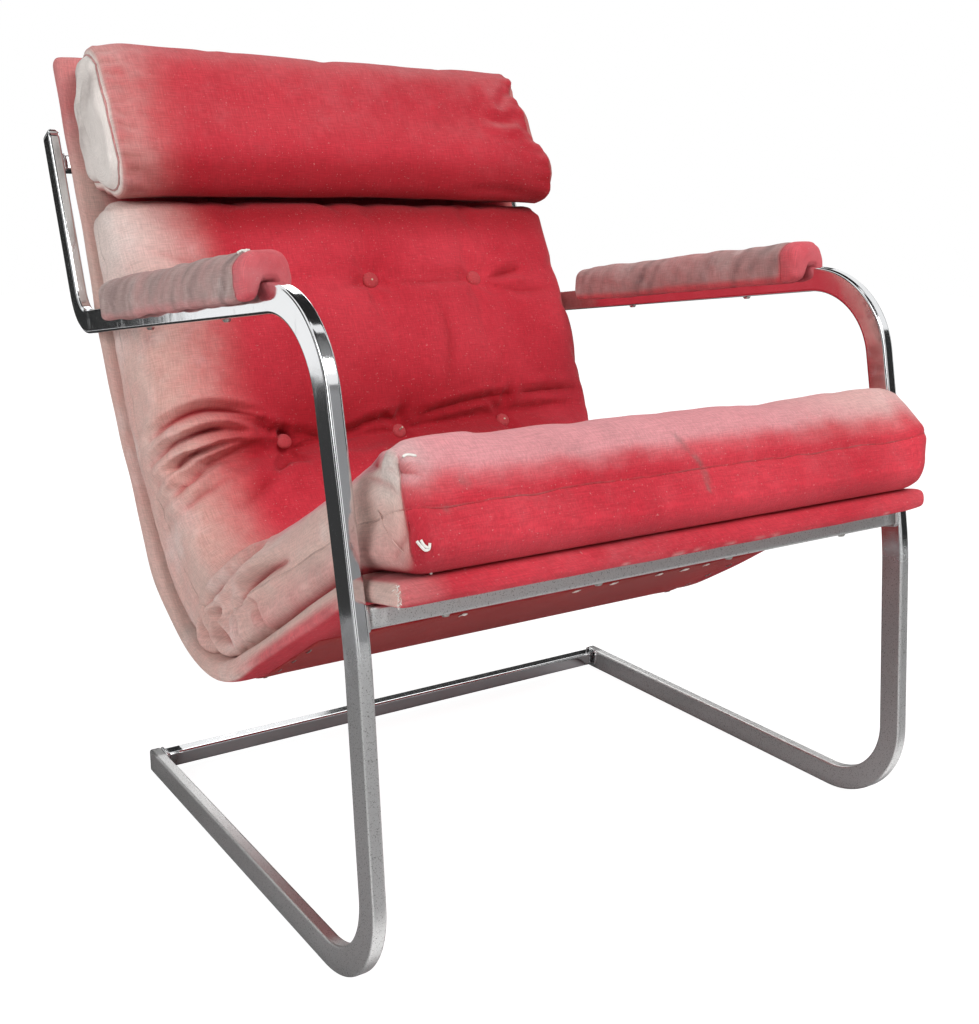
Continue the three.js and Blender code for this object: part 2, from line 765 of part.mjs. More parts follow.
const washerTop = washerLift + washerThickness + gap;
const buttonSeatHeight = tuftDepth + cushionCrown + overrun;
const washers = tufts.map((tuft) => atTuft(tuft, pin(washerRadius, washerThickness), washerLift));
const ties = tufts.map((tuft) => atTuft(tuft, pin(tieRadius, tuft.depth - gap - washerTop, tieSides), washerTop));
const tieHoles = tufts.map((tuft) => atTuft(tuft, socket(tieRadius, tuft.depth + overrun, tieSides), -overrun));
const washerSeats = tufts.map((tuft) => atTuft(tuft, socket(washerRadius, washerTop + overrun), -overrun));
const buttonSeats = tufts.map((tuft) => atTuft(tuft, socket(buttonRadius, buttonSeatHeight), tuft.depth - gap));

const shellRoom = sweep(rectangle(-shellWidth, shellWidth, 0, shellThickness / 2 + gap), shellMiddle);
const cushionTools = [shellRoom, cushionCavity, cushionZip, ...tieHoles, ...washerSeats, ...buttonSeats];
addPart('lounge_cushion', cut(cushionCover, cushionTools), redCloth);
addPart('lounge_cushion_core', cut(cushionCore, [...tieHoles, ...buttonSeats]), foam);
addRow('tuft_button', tufts.map((tuft) => atTuft(tuft, button(), tuft.depth)), redCloth);
addRow('tuft_tie', ties, twine);
addRow('tuft_washer', washers, blackPlastic);

// Head roll, with a slot for its zip underneath
const rollFoot = along(along(shellTop, upUpright, -rollFootDrop), forwardFromBack, shellThickness + gap);

function rollRing(x, swell, shares, inset) {
  return shares.map(([forwardShare, riseShare]) => {
    const forward = inset + forwardShare * (rollDepth * swell - 2 * inset);
    const rise = rollHeight * rollMiddleShare + (riseShare - rollMiddleShare) * (rollHeight * swell - 2 * inset);
    const point = along(along(rollFoot, upUpright, rise), forwardFromBack, forward);
    return new THREE.Vector3(x, point.x, point.y);
  });
}

function rollBody(ends, shares, inset) {
  const half = rollWidth / 2 - inset;
  const others = [...ends].reverse().map(([share, swell]) => [-share, swell]);
  return loft([...ends, ...others].map(([share, swell]) => rollRing(share * half, swell, shares, inset)));
}

const rollZip = place(
  new THREE.BoxGeometry(zipWidth, zipHeight, rollHeight),
  0,
  along(rollFoot, forwardFromBack, rollDepth / 3),
  upUpright,
);
const rollCavity = rollBody([[1, 1]], rollCoreShares, coverThickness);
addPart('head_roll', cut(rollBody(rollEndShares, rollShares, 0), [rollCavity, rollZip]), redCloth);
addPart('head_roll_core', rollBody([[1, 1]], rollCoreShares, coverThickness + softGap), foam);

// Arm rests
const padBottom = padSkirtRise - tubeDepth / 2;
const padEnds = [
  ...padEndShares.map(([share, swell]) => [share * padEndRound, swell]),
  ...[...padEndShares].reverse().map(([share, swell]) => [padLength - share * padEndRound, swell]),
];

const padBody = loft(
  padEnds.map(([distance, swell]) =>
    mirroredRing(padShares).map(([acrossShare, riseShare]) => {
      const rise = padBottom + padHeight * (0.5 + (riseShare - 0.5) * swell);
      const point = onArm(distance, rise);
      return new THREE.Vector3((-acrossShare * swell * padWidth) / 2, point.x, point.y);
    }),
  ),
);

// Box along the arm, between two distances and two rises above the tube's centre
function armBox(width, [from, to], [bottom, top]) {
  const box = new THREE.BoxGeometry(width, top - bottom, to - from).translate(0, 0, (to - from) / 2);
  return place(box, 0, onArm(from, (bottom + top) / 2), downArm);
}

const armTop = tubeDepth / 2;
const boardTop = armTop + gap + armBoardThickness;
const boardEnds = [armBoardInset, padLength - armBoardInset];
const padChannel = armBox(tubeWidth + 2 * softGap, [-overrun, padLength + overrun], [-tubeDepth, armTop + softGap]);
const padPocket = armBox(
  armBoardWidth + 2 * gap,
  [boardEnds[0] - gap, boardEnds[1] + gap],
  [armTop, boardTop + gap],
);
const armBoard = cut(armBox(armBoardWidth, boardEnds, [armTop + gap, boardTop]), armHoles);
const armPad = cut(padBody, [padChannel, padPocket]);
const armScrews = armScrewPlaces.map((distance) =>
  place(screw(armScrewLength), 0, onArm(distance, armScrewStart), upFromArm),
);

for (const [side, x] of [['left', -frameCentreX], ['right', frameCentreX]]) {
  addPart(`arm_pad_${side}`, armPad.clone(), armCloth, x);
  addPart(`arm_board_${side}`, armBoard.clone(), plywood, x);
  addRow(`arm_pad_screw_${side}`, armScrews.map((geometry) => geometry.clone()), steel, x);
}

// The origin is on the floor, under the middle of the chair
const reach = new THREE.Box3().setFromObject(chair);
chair.position.y = -(reach.min.y + reach.max.y) / 2;

export default chair;
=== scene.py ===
# A cantilever lounge chair in chromed rectangular tube with red canvas upholstery.
#
# Metres, +Z up. The chair faces -Y. Side outlines are drawn in (y, z), and start from the side
# frames' front corner on the floor, whose place is FLOOR_CORNER_Y.

import math
import random

import bmesh
import bpy
import numpy as np
from mathutils import Matrix, Vector
from mathutils.bvhtree import BVHTree


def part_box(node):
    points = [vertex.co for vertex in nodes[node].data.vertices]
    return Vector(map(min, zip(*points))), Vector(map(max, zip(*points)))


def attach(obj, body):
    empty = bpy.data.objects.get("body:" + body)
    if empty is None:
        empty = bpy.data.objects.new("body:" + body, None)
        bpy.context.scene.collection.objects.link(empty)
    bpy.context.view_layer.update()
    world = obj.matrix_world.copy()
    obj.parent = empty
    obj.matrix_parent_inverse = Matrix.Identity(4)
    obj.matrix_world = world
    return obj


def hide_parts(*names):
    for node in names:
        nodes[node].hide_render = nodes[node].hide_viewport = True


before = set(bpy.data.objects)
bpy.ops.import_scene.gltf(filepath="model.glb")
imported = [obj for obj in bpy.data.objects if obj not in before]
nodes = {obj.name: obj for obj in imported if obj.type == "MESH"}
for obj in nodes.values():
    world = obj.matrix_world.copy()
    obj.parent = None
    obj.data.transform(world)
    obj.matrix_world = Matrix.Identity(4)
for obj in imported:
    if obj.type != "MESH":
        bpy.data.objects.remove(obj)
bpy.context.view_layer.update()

# Side frames and crossbars
FLOOR_CORNER_Y = -0.38401
TUBE_WIDTH = 0.0127
TUBE_DEPTH = 0.0254
BAR_SIDE = 0.017
TUBE_CORNER = 0.0026
FRAME_X = 0.31115
RUNNER_LENGTH = 0.512
KNEE_HEIGHT = 0.294
ARM_CORNER_HEIGHT = 0.560
ARM_LENGTH = 0.601
UPRIGHT_LENGTH = 0.220
FRAME_RADII = [0.075, 0.400, 0.086, 0.045]
LOWER_LEAN = 5.5
UPPER_LEAN = 12.5
ARM_FALL = 7.2
UPRIGHT_RAKE = 21.3
SEAT_BAR_HEIGHT = 0.320
BACK_BAR_DROP = 0.032
FLOOR_BAR_RISE = 0.0032

# Shell
SHELL_HALF = 0.3010
SHELL_THICKNESS = 0.022
LIP_TILT = 11
LIP_REACH = 0.052
LIP_KNEE_REACH = 0.024
SEAT_TILT = 31.5
LOWER_BACK_RAKE = 34.5
BACK_KNEE_HEIGHT = 0.380
SHELL_TOP_HEIGHT = 0.775
SHELL_RADII = [0.060, 0.180, 0.450]
WRAP_RETURN = 0.032
WRAP_FRONT_RETURN = 0.222

# Lounge cushion
CUSHION_HALF = 0.2965
CUSHION_FRONT_HEIGHT = 0.451
CUSHION_FRONT_SETBACK = 0.042
CUSHION_LIP_INSET = 0.005
CREASE_HEIGHT = 0.358
CREASE_SETBACK = 0.525
HOLLOW_THICKNESS = 0.092
PAD_KNEE_RISE = 0.045
PAD_KNEE_THICKNESS = 0.092
PAD_TOP_THICKNESS = 0.062
PAD_END_DROP = 0.036
ROLL_FOOT_DROP = 0.165
BUTTON_SPACING = 0.150
BUTTON_ROW_SHARE = 0.41

GAP = 0.0003
TINY = 1e-9
NEAREST_STEPS = 3000


def heading(degrees):
    angle = math.radians(degrees)
    return np.array([math.cos(angle), math.sin(angle)])


def left_of(direction):
    return np.array([-direction[1], direction[0]])


def unit(vector):
    vector = np.asarray(vector, float)
    return vector / np.linalg.norm(vector)


def cross2(a, b):
    return a[0] * b[1] - a[1] * b[0]


def meeting(point_a, heading_a, point_b, heading_b):
    return point_a + heading_a * cross2(point_b - point_a, heading_b) / cross2(heading_a, heading_b)


def smoothstep(low, high, value):
    share = np.clip((np.asarray(value, float) - low) / (high - low), 0, 1)
    return share * share * (3 - 2 * share)


def bell(value, width):
    """1 at 0, and falling off on both sides over a width."""
    return np.exp(-((value / width) ** 2))


TURN_STEP = 2.0


class Path:
    """A side outline with rounded corners, walked by distance."""

    def __init__(self, corners, radii):
        points = [np.array(corners[0], float)]
        tangents = [unit(corners[1] - corners[0])]
        for i, radius in enumerate(radii):
            before = unit(corners[i + 1] - corners[i])
            after = unit(corners[i + 2] - corners[i + 1])
            turn = math.atan2(cross2(before, after), before @ after)
            start = corners[i + 1] - before * radius * math.tan(abs(turn) / 2)
            centre = start + left_of(before) * radius * math.copysign(1, turn)
            steps = max(2, math.ceil(math.degrees(abs(turn)) / TURN_STEP))
            for step in range(steps + 1):
                angle = turn * step / steps
                spin = np.array([[math.cos(angle), -math.sin(angle)], [math.sin(angle), math.cos(angle)]])
                points.append(centre + spin @ (start - centre))
                tangents.append(spin @ before)
        points.append(np.array(corners[-1], float))
        tangents.append(unit(corners[-1] - corners[-2]))
        self.points = np.array(points)
        self.tangents = np.array(tangents)
        steps = np.linalg.norm(np.diff(self.points, axis=0), axis=1)
        self.distances = np.concatenate([[0], np.cumsum(steps)])
        self.length = self.distances[-1]

    def at(self, distance):
        distance = np.asarray(distance, float)
        inside = np.clip(distance, 0, self.length)
        point = np.stack([np.interp(inside, self.distances, self.points[:, k]) for k in (0, 1)], -1)
        return point + (distance - inside)[..., None] * self.tangent(inside)

    def tangent(self, distance):
        inside = np.clip(distance, 0, self.length)
        tangent = np.stack([np.interp(inside, self.distances, self.tangents[:, k]) for k in (0, 1)], -1)
        return tangent / np.linalg.norm(tangent, axis=-1, keepdims=True)

    def nearest(self, target, start=0):
        walk = np.linspace(start, self.length, NEAREST_STEPS)
        return walk[np.argmin(np.linalg.norm(self.at(walk) - target, axis=1))]


def moved(corners, radii, distance):
    """Corners and radii of an outline moved to its left."""
    headings = [unit(b - a) for a, b in zip(corners, corners[1:])]
    new_corners = []
    for i, corner in enumerate(corners):
        before = headings[max(i - 1, 0)]
        after = headings[min(i, len(headings) - 1)]
        on_before = corner + left_of(before) * distance
        if i in (0, len(corners) - 1):
            new_corners.append(on_before)
        else:
            new_corners.append(meeting(on_before, before, corner + left_of(after) * distance, after))
    turns = [math.copysign(1, cross2(a, b)) for a, b in zip(headings, headings[1:])]
    return new_corners, [radius - turn * distance for radius, turn in zip(radii, turns)]


# Side frame outline
up_lower_leg = heading(90 - LOWER_LEAN)
up_upper_leg = heading(90 - UPPER_LEAN)
down_arm = heading(-ARM_FALL)
up_upright = heading(90 - UPRIGHT_RAKE)
floor_corner = np.array([FLOOR_CORNER_Y, TUBE_DEPTH / 2])
runner_end = floor_corner + np.array([RUNNER_LENGTH, 0])
leg_knee = floor_corner + up_lower_leg * (KNEE_HEIGHT - floor_corner[1]) / up_lower_leg[1]
arm_corner = leg_knee + up_upper_leg * (ARM_CORNER_HEIGHT - leg_knee[1]) / up_upper_leg[1]
arm_rear = arm_corner + down_arm * ARM_LENGTH
upright_top = arm_rear + up_upright * UPRIGHT_LENGTH
frame_path = Path([runner_end, floor_corner, leg_knee, arm_corner, arm_rear, upright_top], FRAME_RADII)
seat_bar = leg_knee + up_upper_leg * (SEAT_BAR_HEIGHT - leg_knee[1]) / up_upper_leg[1]
back_bar = upright_top - up_upright * BACK_BAR_DROP
floor_bar = runner_end + np.array([-BAR_SIDE / 2, FLOOR_BAR_RISE])

# Shell outline along its underside and back
lip_heading = heading(-LIP_TILT)
forward = left_of(up_upright)
seat_contact = seat_bar + left_of(lip_heading) * (BAR_SIDE / 2 + GAP)
back_contact = back_bar + forward * (BAR_SIDE / 2 + GAP)
lip_front = seat_contact - lip_heading * LIP_REACH
lip_knee = seat_contact + lip_heading * LIP_KNEE_REACH
back_knee = back_contact + up_upright * (BACK_KNEE_HEIGHT - back_contact[1]) / up_upright[1]
up_lower_back = heading(90 - LOWER_BACK_RAKE)
seat_corner = meeting(lip_knee, heading(-SEAT_TILT), back_knee, up_lower_back)
shell_top = back_knee + up_upright * (SHELL_TOP_HEIGHT - back_knee[1]) / up_upright[1]
shell_corners = [lip_front, lip_knee, seat_corner, back_knee, shell_top]
shell_middle = Path(*moved(shell_corners, SHELL_RADII, SHELL_THICKNESS / 2))
shell_face = moved(shell_corners, SHELL_RADII, SHELL_THICKNESS + GAP)

# Cushion outline: where its back and its top run, and the hollow over the shell's bend
cushion_back = Path(*shell_face)
knee_foot = shell_face[0][3] + up_upright * PAD_KNEE_RISE
back_end = shell_face[0][4] - up_upright * (ROLL_FOOT_DROP + PAD_END_DROP)
top_start = np.array([lip_front[0] + CUSHION_FRONT_SETBACK, CUSHION_FRONT_HEIGHT])
crease = np.array([lip_front[0] + CREASE_SETBACK, CREASE_HEIGHT])
pad_knee = knee_foot + forward * PAD_KNEE_THICKNESS
top_end = back_end + forward * PAD_TOP_THICKNESS
bend_reach = shell_face[1][1] * math.tan(math.radians(SEAT_TILT + 90 - LOWER_BACK_RAKE) / 2)
bend_start = cushion_back.nearest(shell_face[0][2] - heading(-SEAT_TILT) * bend_reach)
crease_back = cushion_back.nearest(crease, bend_start)
crease_thickness = np.linalg.norm(crease - cushion_back.at(crease_back))
HOLLOW_STEPS = 24


def cushion_stations():
    """Tops and backs of the cushion from its front edge to its end, with the distance along it."""
    tops = [top_start]
    backs = [CUSHION_LIP_INSET]
    for i in range(HOLLOW_STEPS + 1):
        share = i / HOLLOW_STEPS
        backs.append(bend_start + share * (crease_back - bend_start))
        thickness = HOLLOW_THICKNESS + share * (crease_thickness - HOLLOW_THICKNESS)
        tops.append(cushion_back.at(backs[-1]) + left_of(cushion_back.tangent(backs[-1])) * thickness)
    tops += [pad_knee, top_end]
    backs += [cushion_back.nearest(knee_foot), cushion_back.nearest(back_end)]
    tops = np.array(tops)
    backs = np.array(backs)
    steps = (np.linalg.norm(np.diff(tops, axis=0), axis=1) + np.diff(backs)) / 2
    return tops, backs, np.concatenate([[0], np.cumsum(steps)])


station_tops, station_backs, station_places = cushion_stations()
cushion_length = station_places[-1]
hollow_along = station_places[1]
crease_along = station_places[1 + HOLLOW_STEPS]
row_along = station_places[-2] + BUTTON_ROW_SHARE * (station_places[-1] - station_places[-2])


# Meshes
def new_object(name, points, faces, material, smooth=True):
    mesh = bpy.data.meshes.new(name)
    mesh.from_pydata([tuple(map(float, p)) for p in points], [], [tuple(map(int, f)) for f in faces])
    mesh.polygons.foreach_set("use_smooth", [smooth] * len(mesh.polygons))
    mesh.materials.append(material)
    mesh.update()
    obj = bpy.data.objects.new(name, mesh)
    bpy.context.scene.collection.objects.link(obj)
    return obj


def read_points(collection, key, size=3):
    """Values of a mesh's points, as rows."""
    flat = np.empty(len(collection) * size)
    collection.foreach_get(key, flat)
    return flat.reshape(-1, size)


def coordinates(obj):
    return read_points(obj.data.vertices, "co")


def set_coordinates(obj, points):
    obj.data.vertices.foreach_set("co", np.asarray(points, float).ravel())
    obj.data.update()


def normals(obj):
    return read_points(obj.data.vertices, "normal")


def set_attribute(obj, name, values):
    kind = "FLOAT" if np.ndim(values) == 1 else "FLOAT_VECTOR"
    attribute = obj.data.attributes.new(name, kind, "POINT")
    attribute.data.foreach_set("value" if kind == "FLOAT" else "vector", np.asarray(values, float).ravel())


WAVES = 9
# Kinds of a cloth's wear; deep and soil also carry painted shade
WEAR_AND_SHADE_KINDS = ("fade", "pale", "sun", "deep", "soil")


def set_wear_and_shade(obj, **shares):
    """Wear and painted shade of a cloth at its points, each kind from 0 to 1; a kind that isn't given is 0.
    """
    count = len(obj.data.vertices)
    for kind in WEAR_AND_SHADE_KINDS:
        set_attribute(obj, kind, np.broadcast_to(np.clip(shares.get(kind, 0.0), 0, 1), count))


def get_vectors(obj, name):
    return read_points(obj.data.attributes[name].data, "vector")


def get_numbers(obj, name):
    return read_points(obj.data.attributes[name].data, "value", 1)[:, 0]


def place_piece(obj, slot, *replaced):
    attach(obj, "root")
    if replaced:
        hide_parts(*replaced)
    return obj


def in_chair(across, points):
    """Points of the side plane, moved across the chair."""
    points = np.asarray(points, float)
    across = np.broadcast_to(across, points.shape[:-1])
    return np.concatenate([across[..., None], points], -1)


def loft(name, rings, material, closed=False):
    """Quads between equal rings; open lofts get a flat face at each end."""
    rings = np.asarray(rings, float)
    count, size = rings.shape[:2]
    faces = []
    for ring in range(count if closed else count - 1):
        after = (ring + 1) % count
        for i in range(size):
            j = (i + 1) % size
            faces.append((ring * size + i, ring * size + j, after * size + j, after * size + i))
    if not closed:
        faces.append(list(range(size))[::-1])
        faces.append([(count - 1) * size + i for i in range(size)])
    return new_object(name, rings.reshape(-1, 3), faces, material)


def rectangle_section(width, depth, corner, facets=6, support=0.0005):
    """Rounded rectangle with a support point close to each end of its flats."""
    section = []
    for quarter in range(4):
        angle = math.pi / 2 * quarter
        sign_x = 1 if quarter in (0, 3) else -1
        sign_y = 1 if quarter in (0, 1) else -1
        centre = np.array([sign_x * (width / 2 - corner), sign_y * (depth / 2 - corner)])
        first = np.array([math.cos(angle), math.sin(angle)])
        last = left_of(first)
        section.append(centre + first * corner - last * support)
        for i in range(facets + 1):
            turn = math.pi / 2 * i / facets
            section.append(centre + corner * (first * math.cos(turn) + last * math.sin(turn)))
        section.append(centre + last * corner - first * support)
    return np.array(section)


def round_section(radius, sides):
    angles = np.arange(sides) * 2 * math.pi / sides
    return radius * np.stack([np.cos(angles), np.sin(angles)], -1)


THREAD_START = [0.3, 0.2, 0.93]


def thread(name, points, radius, material, sides=6, closed=False):
    """Round strand along points, with its section carried along the path."""
    points = np.asarray(points, float)
    ahead = np.roll(points, -1, axis=0)
    behind = np.roll(points, 1, axis=0)
    if not closed:
        ahead[-1] = points[-1]
        behind[0] = points[0]
    tangents = ahead - behind
    tangents /= np.linalg.norm(tangents, axis=1, keepdims=True) + 1e-12
    side = np.cross(tangents[0], THREAD_START)
    rings = []
    section = round_section(radius, sides)
    for point, tangent in zip(points, tangents):
        side = side - tangent * (side @ tangent)
        side = side / np.linalg.norm(side)
        other = np.cross(tangent, side)
        rings.append([point + side * s[0] + other * s[1] for s in section])
    return loft(name, rings, material, closed)


def join(name, pieces):
    """One object from several."""
    mesh = bmesh.new()
    for piece in pieces:
        mesh.from_mesh(piece.data)
    data = bpy.data.meshes.new(name)
    mesh.to_mesh(data)
    mesh.free()
    data.materials.append(pieces[0].data.materials[0])
    for piece in pieces:
        bpy.data.objects.remove(piece)
    obj = bpy.data.objects.new(name, data)
    bpy.context.scene.collection.objects.link(obj)
    return obj


def box_lattice(xs, ys, zs):
    """Surface of a box of lattice points: the points, the quads and each point's lattice place."""
    index = {}
    points = []
    places = []

    def vertex(i, j, k):
        if (i, j, k) not in index:
            index[(i, j, k)] = len(points)
            points.append((xs[i], ys[j], zs[k]))
            places.append((i, j, k))
        return index[(i, j, k)]

    sizes = (len(xs) - 1, len(ys) - 1, len(zs) - 1)
    faces = []
    for axis in range(3):
        one, two = (axis + 1) % 3, (axis + 2) % 3
        for end in (0, sizes[axis]):
            for a in range(sizes[one]):
                for b in range(sizes[two]):
                    quad = []
                    for da, db in ((0, 0), (1, 0), (1, 1), (0, 1)):
                        place = [0, 0, 0]
                        place[axis] = end
                        place[one] = a + da
                        place[two] = b + db
                        quad.append(vertex(*place))
                    faces.append(quad if end else quad[::-1])
    return np.array(points, float), faces, np.array(places), index


def border(last_a, last_b):
    """Lattice places once round a rectangle."""
    ring = [(a, 0) for a in range(last_a)] + [(last_a, b) for b in range(last_b)]
    return ring + [(a, last_b) for a in range(last_a, 0, -1)] + [(0, b) for b in range(last_b, 0, -1)]


def rounded(points, low, high, radii):
    """Box points with the box's edges rounded by a radius along each axis."""
    radii = np.asarray(radii, float)
    inner = np.clip(points, np.asarray(low) + radii, np.asarray(high) - radii)
    reach = (points - inner) / radii
    length = np.linalg.norm(reach, axis=1, keepdims=True)
    return inner + radii * np.where(length > 0, reach / np.maximum(length, TINY), 0)


def levels(low, high, spacing, extra=()):
    count = max(2, round((high - low) / spacing))
    return np.unique(np.round(np.concatenate([np.linspace(low, high, count + 1), extra]), 6))


def finish_modifiers(obj):
    graph = bpy.context.evaluated_depsgraph_get()
    data = bpy.data.meshes.new_from_object(obj.evaluated_get(graph))
    old = obj.data
    obj.modifiers.clear()
    obj.data = data
    bpy.data.meshes.remove(old)
    data.name = obj.name


def smooth_faces(obj):
    obj.data.polygons.foreach_set("use_smooth", [True] * len(obj.data.polygons))


def subdivide(obj):
    obj.modifiers.new("subdivision", "SUBSURF").levels = 1
    finish_modifiers(obj)
    smooth_faces(obj)


INFLATE_FRAMES = 20
INFLATE_PRESSURE = 4.0
LEAST_PIN = 0.01
# How far a point may move in the simulation, and how much the cloth grows
CUSHION_CAP = 0.009
ROLL_CAP = 0.005
PAD_CAP = 0.002
SOFT_GROWTH = 0.02
PAD_GROWTH = 0.01
CLOTH_SETTINGS = {
    "quality": 6,
    "mass": 0.3,
    "tension_stiffness": 20,
    "compression_stiffness": 12,
    "shear_stiffness": 6,
    "bending_stiffness": 0.4,
    "use_pressure": True,
    "uniform_pressure_force": INFLATE_PRESSURE,
    "vertex_group_mass": "pins",
}


def add_cloth(obj, pins, growth):
    group = obj.vertex_groups.new(name="pins")
    for index, weight in enumerate(pins):
        if weight > LEAST_PIN:
            group.add([index], float(weight), "REPLACE")
    cloth = obj.modifiers.new("cloth", "CLOTH")
    for key, value in CLOTH_SETTINGS.items():
        setattr(cloth.settings, key, value)
    cloth.settings.shrink_min = -growth
    cloth.settings.effector_weights.gravity = 0
    cloth.collision_settings.use_collision = False
    cloth.point_cache.frame_start = 1
    cloth.point_cache.frame_end = INFLATE_FRAMES


def inflate(padded):
    """Cloth under pressure for several pieces at once: (object, pins, cap, growth) each."""
    before = {}
    for obj, pins, _, growth in padded:
        add_cloth(obj, pins, growth)
        before[obj.name] = coordinates(obj)
    scene = bpy.context.scene
    for step in range(1, INFLATE_FRAMES + 1):
        scene.frame_set(step)
    graph = bpy.context.evaluated_depsgraph_get()
    after = {obj.name: coordinates(obj.evaluated_get(graph)) for obj, _, _, _ in padded}
    scene.frame_set(1)
    for obj, _, cap, _ in padded:
        obj.modifiers.clear()
        obj.vertex_groups.clear()
        move = after[obj.name] - before[obj.name]
        size = np.linalg.norm(move, axis=1, keepdims=True)
        move *= cap * np.tanh(size / cap) / np.maximum(size, TINY)
        set_coordinates(obj, before[obj.name] + move)


def refine(obj, paths, reach):
    """Halves the faces that lie near any of the paths."""
    mesh = bmesh.new()
    mesh.from_mesh(obj.data)
    centres = np.array([face.calc_center_median() for face in mesh.faces])
    near = np.zeros(len(centres), bool)
    for path in paths:
        low = path.min(axis=0) - reach
        high = path.max(axis=0) + reach
        inside = np.flatnonzero(((centres > low) & (centres < high)).all(axis=1))
        if len(inside):
            near[inside[near_path(centres[inside], path)[0] < reach]] = True
    edges = {edge for face, chosen in zip(mesh.faces, near) if chosen for edge in face.edges}
    edges = sorted(edges, key=lambda edge: edge.index)
    bmesh.ops.subdivide_edges(mesh, edges=edges, cuts=1, use_grid_fill=True)
    mesh.to_mesh(obj.data)
    mesh.free()
    smooth_faces(obj)
    obj.data.update()


def near_path(points, path):
    """Distance from each point to a polyline, and the share of the line at which it is nearest."""
    path = np.asarray(path, float)
    best = np.full(len(points), 1e9)
    share = np.zeros(len(points))
    lengths = np.linalg.norm(np.diff(path, axis=0), axis=1)
    starts = np.concatenate([[0], np.cumsum(lengths)])
    for i, length in enumerate(lengths):
        direction = (path[i + 1] - path[i]) / max(length, TINY)
        reach = np.clip((points - path[i]) @ direction, 0, length)
        away = np.linalg.norm(points - path[i] - reach[:, None] * direction, axis=1)
        closer = away < best
        best[closer] = away[closer]
        share[closer] = (starts[i] + reach[closer]) / starts[-1]
    return best, share


# A fold's form, in shares of its width: how far it reaches, where its ridges lie, its crease and its shade
FOLD_REACH_SHARE = 5
FOLD_RIDGE_SHARE = 2.1
FOLD_CREASE_SHARE = 0.3
FOLD_SHADE_SHARE = 0.55
FOLD_ROUND_SHARE = 0.6
FAR_AWAY = 1.0
FOLD_SHARE = 1.35
DEEP_FOLD = 0.0085


def fold(points, outward, path, width, depth, ridge, tapered=True):
    """Presses a valley along a path, with a low ridge at each side of it; also gives its share of shade."""
    away = np.full(len(points), FAR_AWAY)
    share = np.zeros(len(points))
    reach = FOLD_REACH_SHARE * width
    path = np.asarray(path, float)
    inside = ((points > path.min(axis=0) - reach) & (points < path.max(axis=0) + reach)).all(axis=1)
    away[inside], share[inside] = near_path(points[inside], path)
    taper = np.sin(np.pi * np.clip(share, 0.02, 0.98)) ** 0.5 if tapered else 1
    valley = -FOLD_ROUND_SHARE * np.exp(-((away / width) ** 1.6))
    valley -= (1 - FOLD_ROUND_SHARE) * np.exp(-away / (FOLD_CREASE_SHARE * width))
    ridges = ridge * bell(away - FOLD_RIDGE_SHARE * width, width)
    shade = taper * bell(away, FOLD_SHADE_SHARE * width)
    return points + outward * (depth * taper * (valley + ridges))[:, None], shade


def smooth_path(points, steps=8):
    """Catmull-Rom curve through points."""
    points = np.asarray(points, float)
    padded = np.vstack([2 * points[0] - points[1], points, 2 * points[-1] - points[-2]])
    curve = []
    for i in range(1, len(padded) - 2):
        a, b, c, d = padded[i - 1:i + 3]
        for step in range(steps):
            t = step / steps
            curve.append(0.5 * (2 * b + (c - a) * t + (2 * a - 5 * b + 4 * c - d) * t**2
                                + (3 * b - a - 3 * c + d) * t**3))
    curve.append(points[-1])
    return np.array(curve)


# Noises of the wear, as (scale, seed)
DULL_NOISE = (30, 1)
WRAP_NOISE = (22, 5)
FRAY_NOISES = ((130, 6), (420, 7))
PANEL_NOISE = (14, 8)
CUSHION_BROAD_NOISE = (16, 31)
CUSHION_FINE_NOISE = (48, 32)
CUSHION_STREAKS = (75, 33)
GATHER_NOISE = (32, 40)
ROLL_NOISE = (20, 42)
ROLL_STREAKS = (90, 47)
PAD_NOISE = (35, 52)
PAD_STREAKS = (120, 53)
# Reliefs of the cloths, each a sum of noises as (height, scale, seed)
WRAP_RELIEF = ((0.0007, 70, 3), (0.0011, 28, 4))
CUSHION_RELIEF = ((0.0010, 45, 21), (0.0006, 110, 22))
ROLL_END_RELIEF = ((0.0026, 62, 45), (0.0010, 150, 46))
ROLL_RELIEF = ((0.0012, 36, 41),)
PAD_RELIEF = ((0.0009, 60, 50), (0.0007, 150, 51))
PAD_FINE_RELIEF = ((0.0006, 380, 54),)


def wave_noise(points, scale, seed):
    """Smooth noise of points, from a few seeded waves."""
    draw = np.random.default_rng(seed)
    directions = draw.normal(size=(WAVES, 3))
    directions /= np.linalg.norm(directions, axis=1, keepdims=True)
    rates = scale * draw.uniform(0.6, 1.6, WAVES)
    phases = draw.uniform(0, 2 * math.pi, WAVES)
    return np.sin(points @ (directions * rates[:, None]).T + phases).sum(1) / math.sqrt(WAVES / 2) / 2


def relief(points, noises):
    """Height of a sum of noises at points."""
    return sum(height * wave_noise(points, scale, seed) for height, scale, seed in noises)


# Camera of the photograph, fitted to the frame, in pixels of a 979 x 1024 picture
PHOTO_WIDTH = 979
PHOTO_HEIGHT = 1024
FOCAL_PIXELS = 1240.887
CAMERA_PLACE = np.array([-0.72413, FLOOR_CORNER_Y - 0.75603, 0.62941])
CAMERA_AZIMUTH = math.radians(34.147)
CAMERA_DIP = math.radians(14.208)
CAMERA_ROLL = math.radians(0.822)
SENSOR_WIDTH = 36

view_forward = np.array([math.sin(CAMERA_AZIMUTH) * math.cos(CAMERA_DIP),
                         math.cos(CAMERA_AZIMUTH) * math.cos(CAMERA_DIP), -math.sin(CAMERA_DIP)])
level_right = np.array([math.cos(CAMERA_AZIMUTH), -math.sin(CAMERA_AZIMUTH), 0])
level_up = np.cross(level_right, view_forward)
view_right = level_right * math.cos(CAMERA_ROLL) + level_up * math.sin(CAMERA_ROLL)
view_up = level_up * math.cos(CAMERA_ROLL) - level_right * math.sin(CAMERA_ROLL)


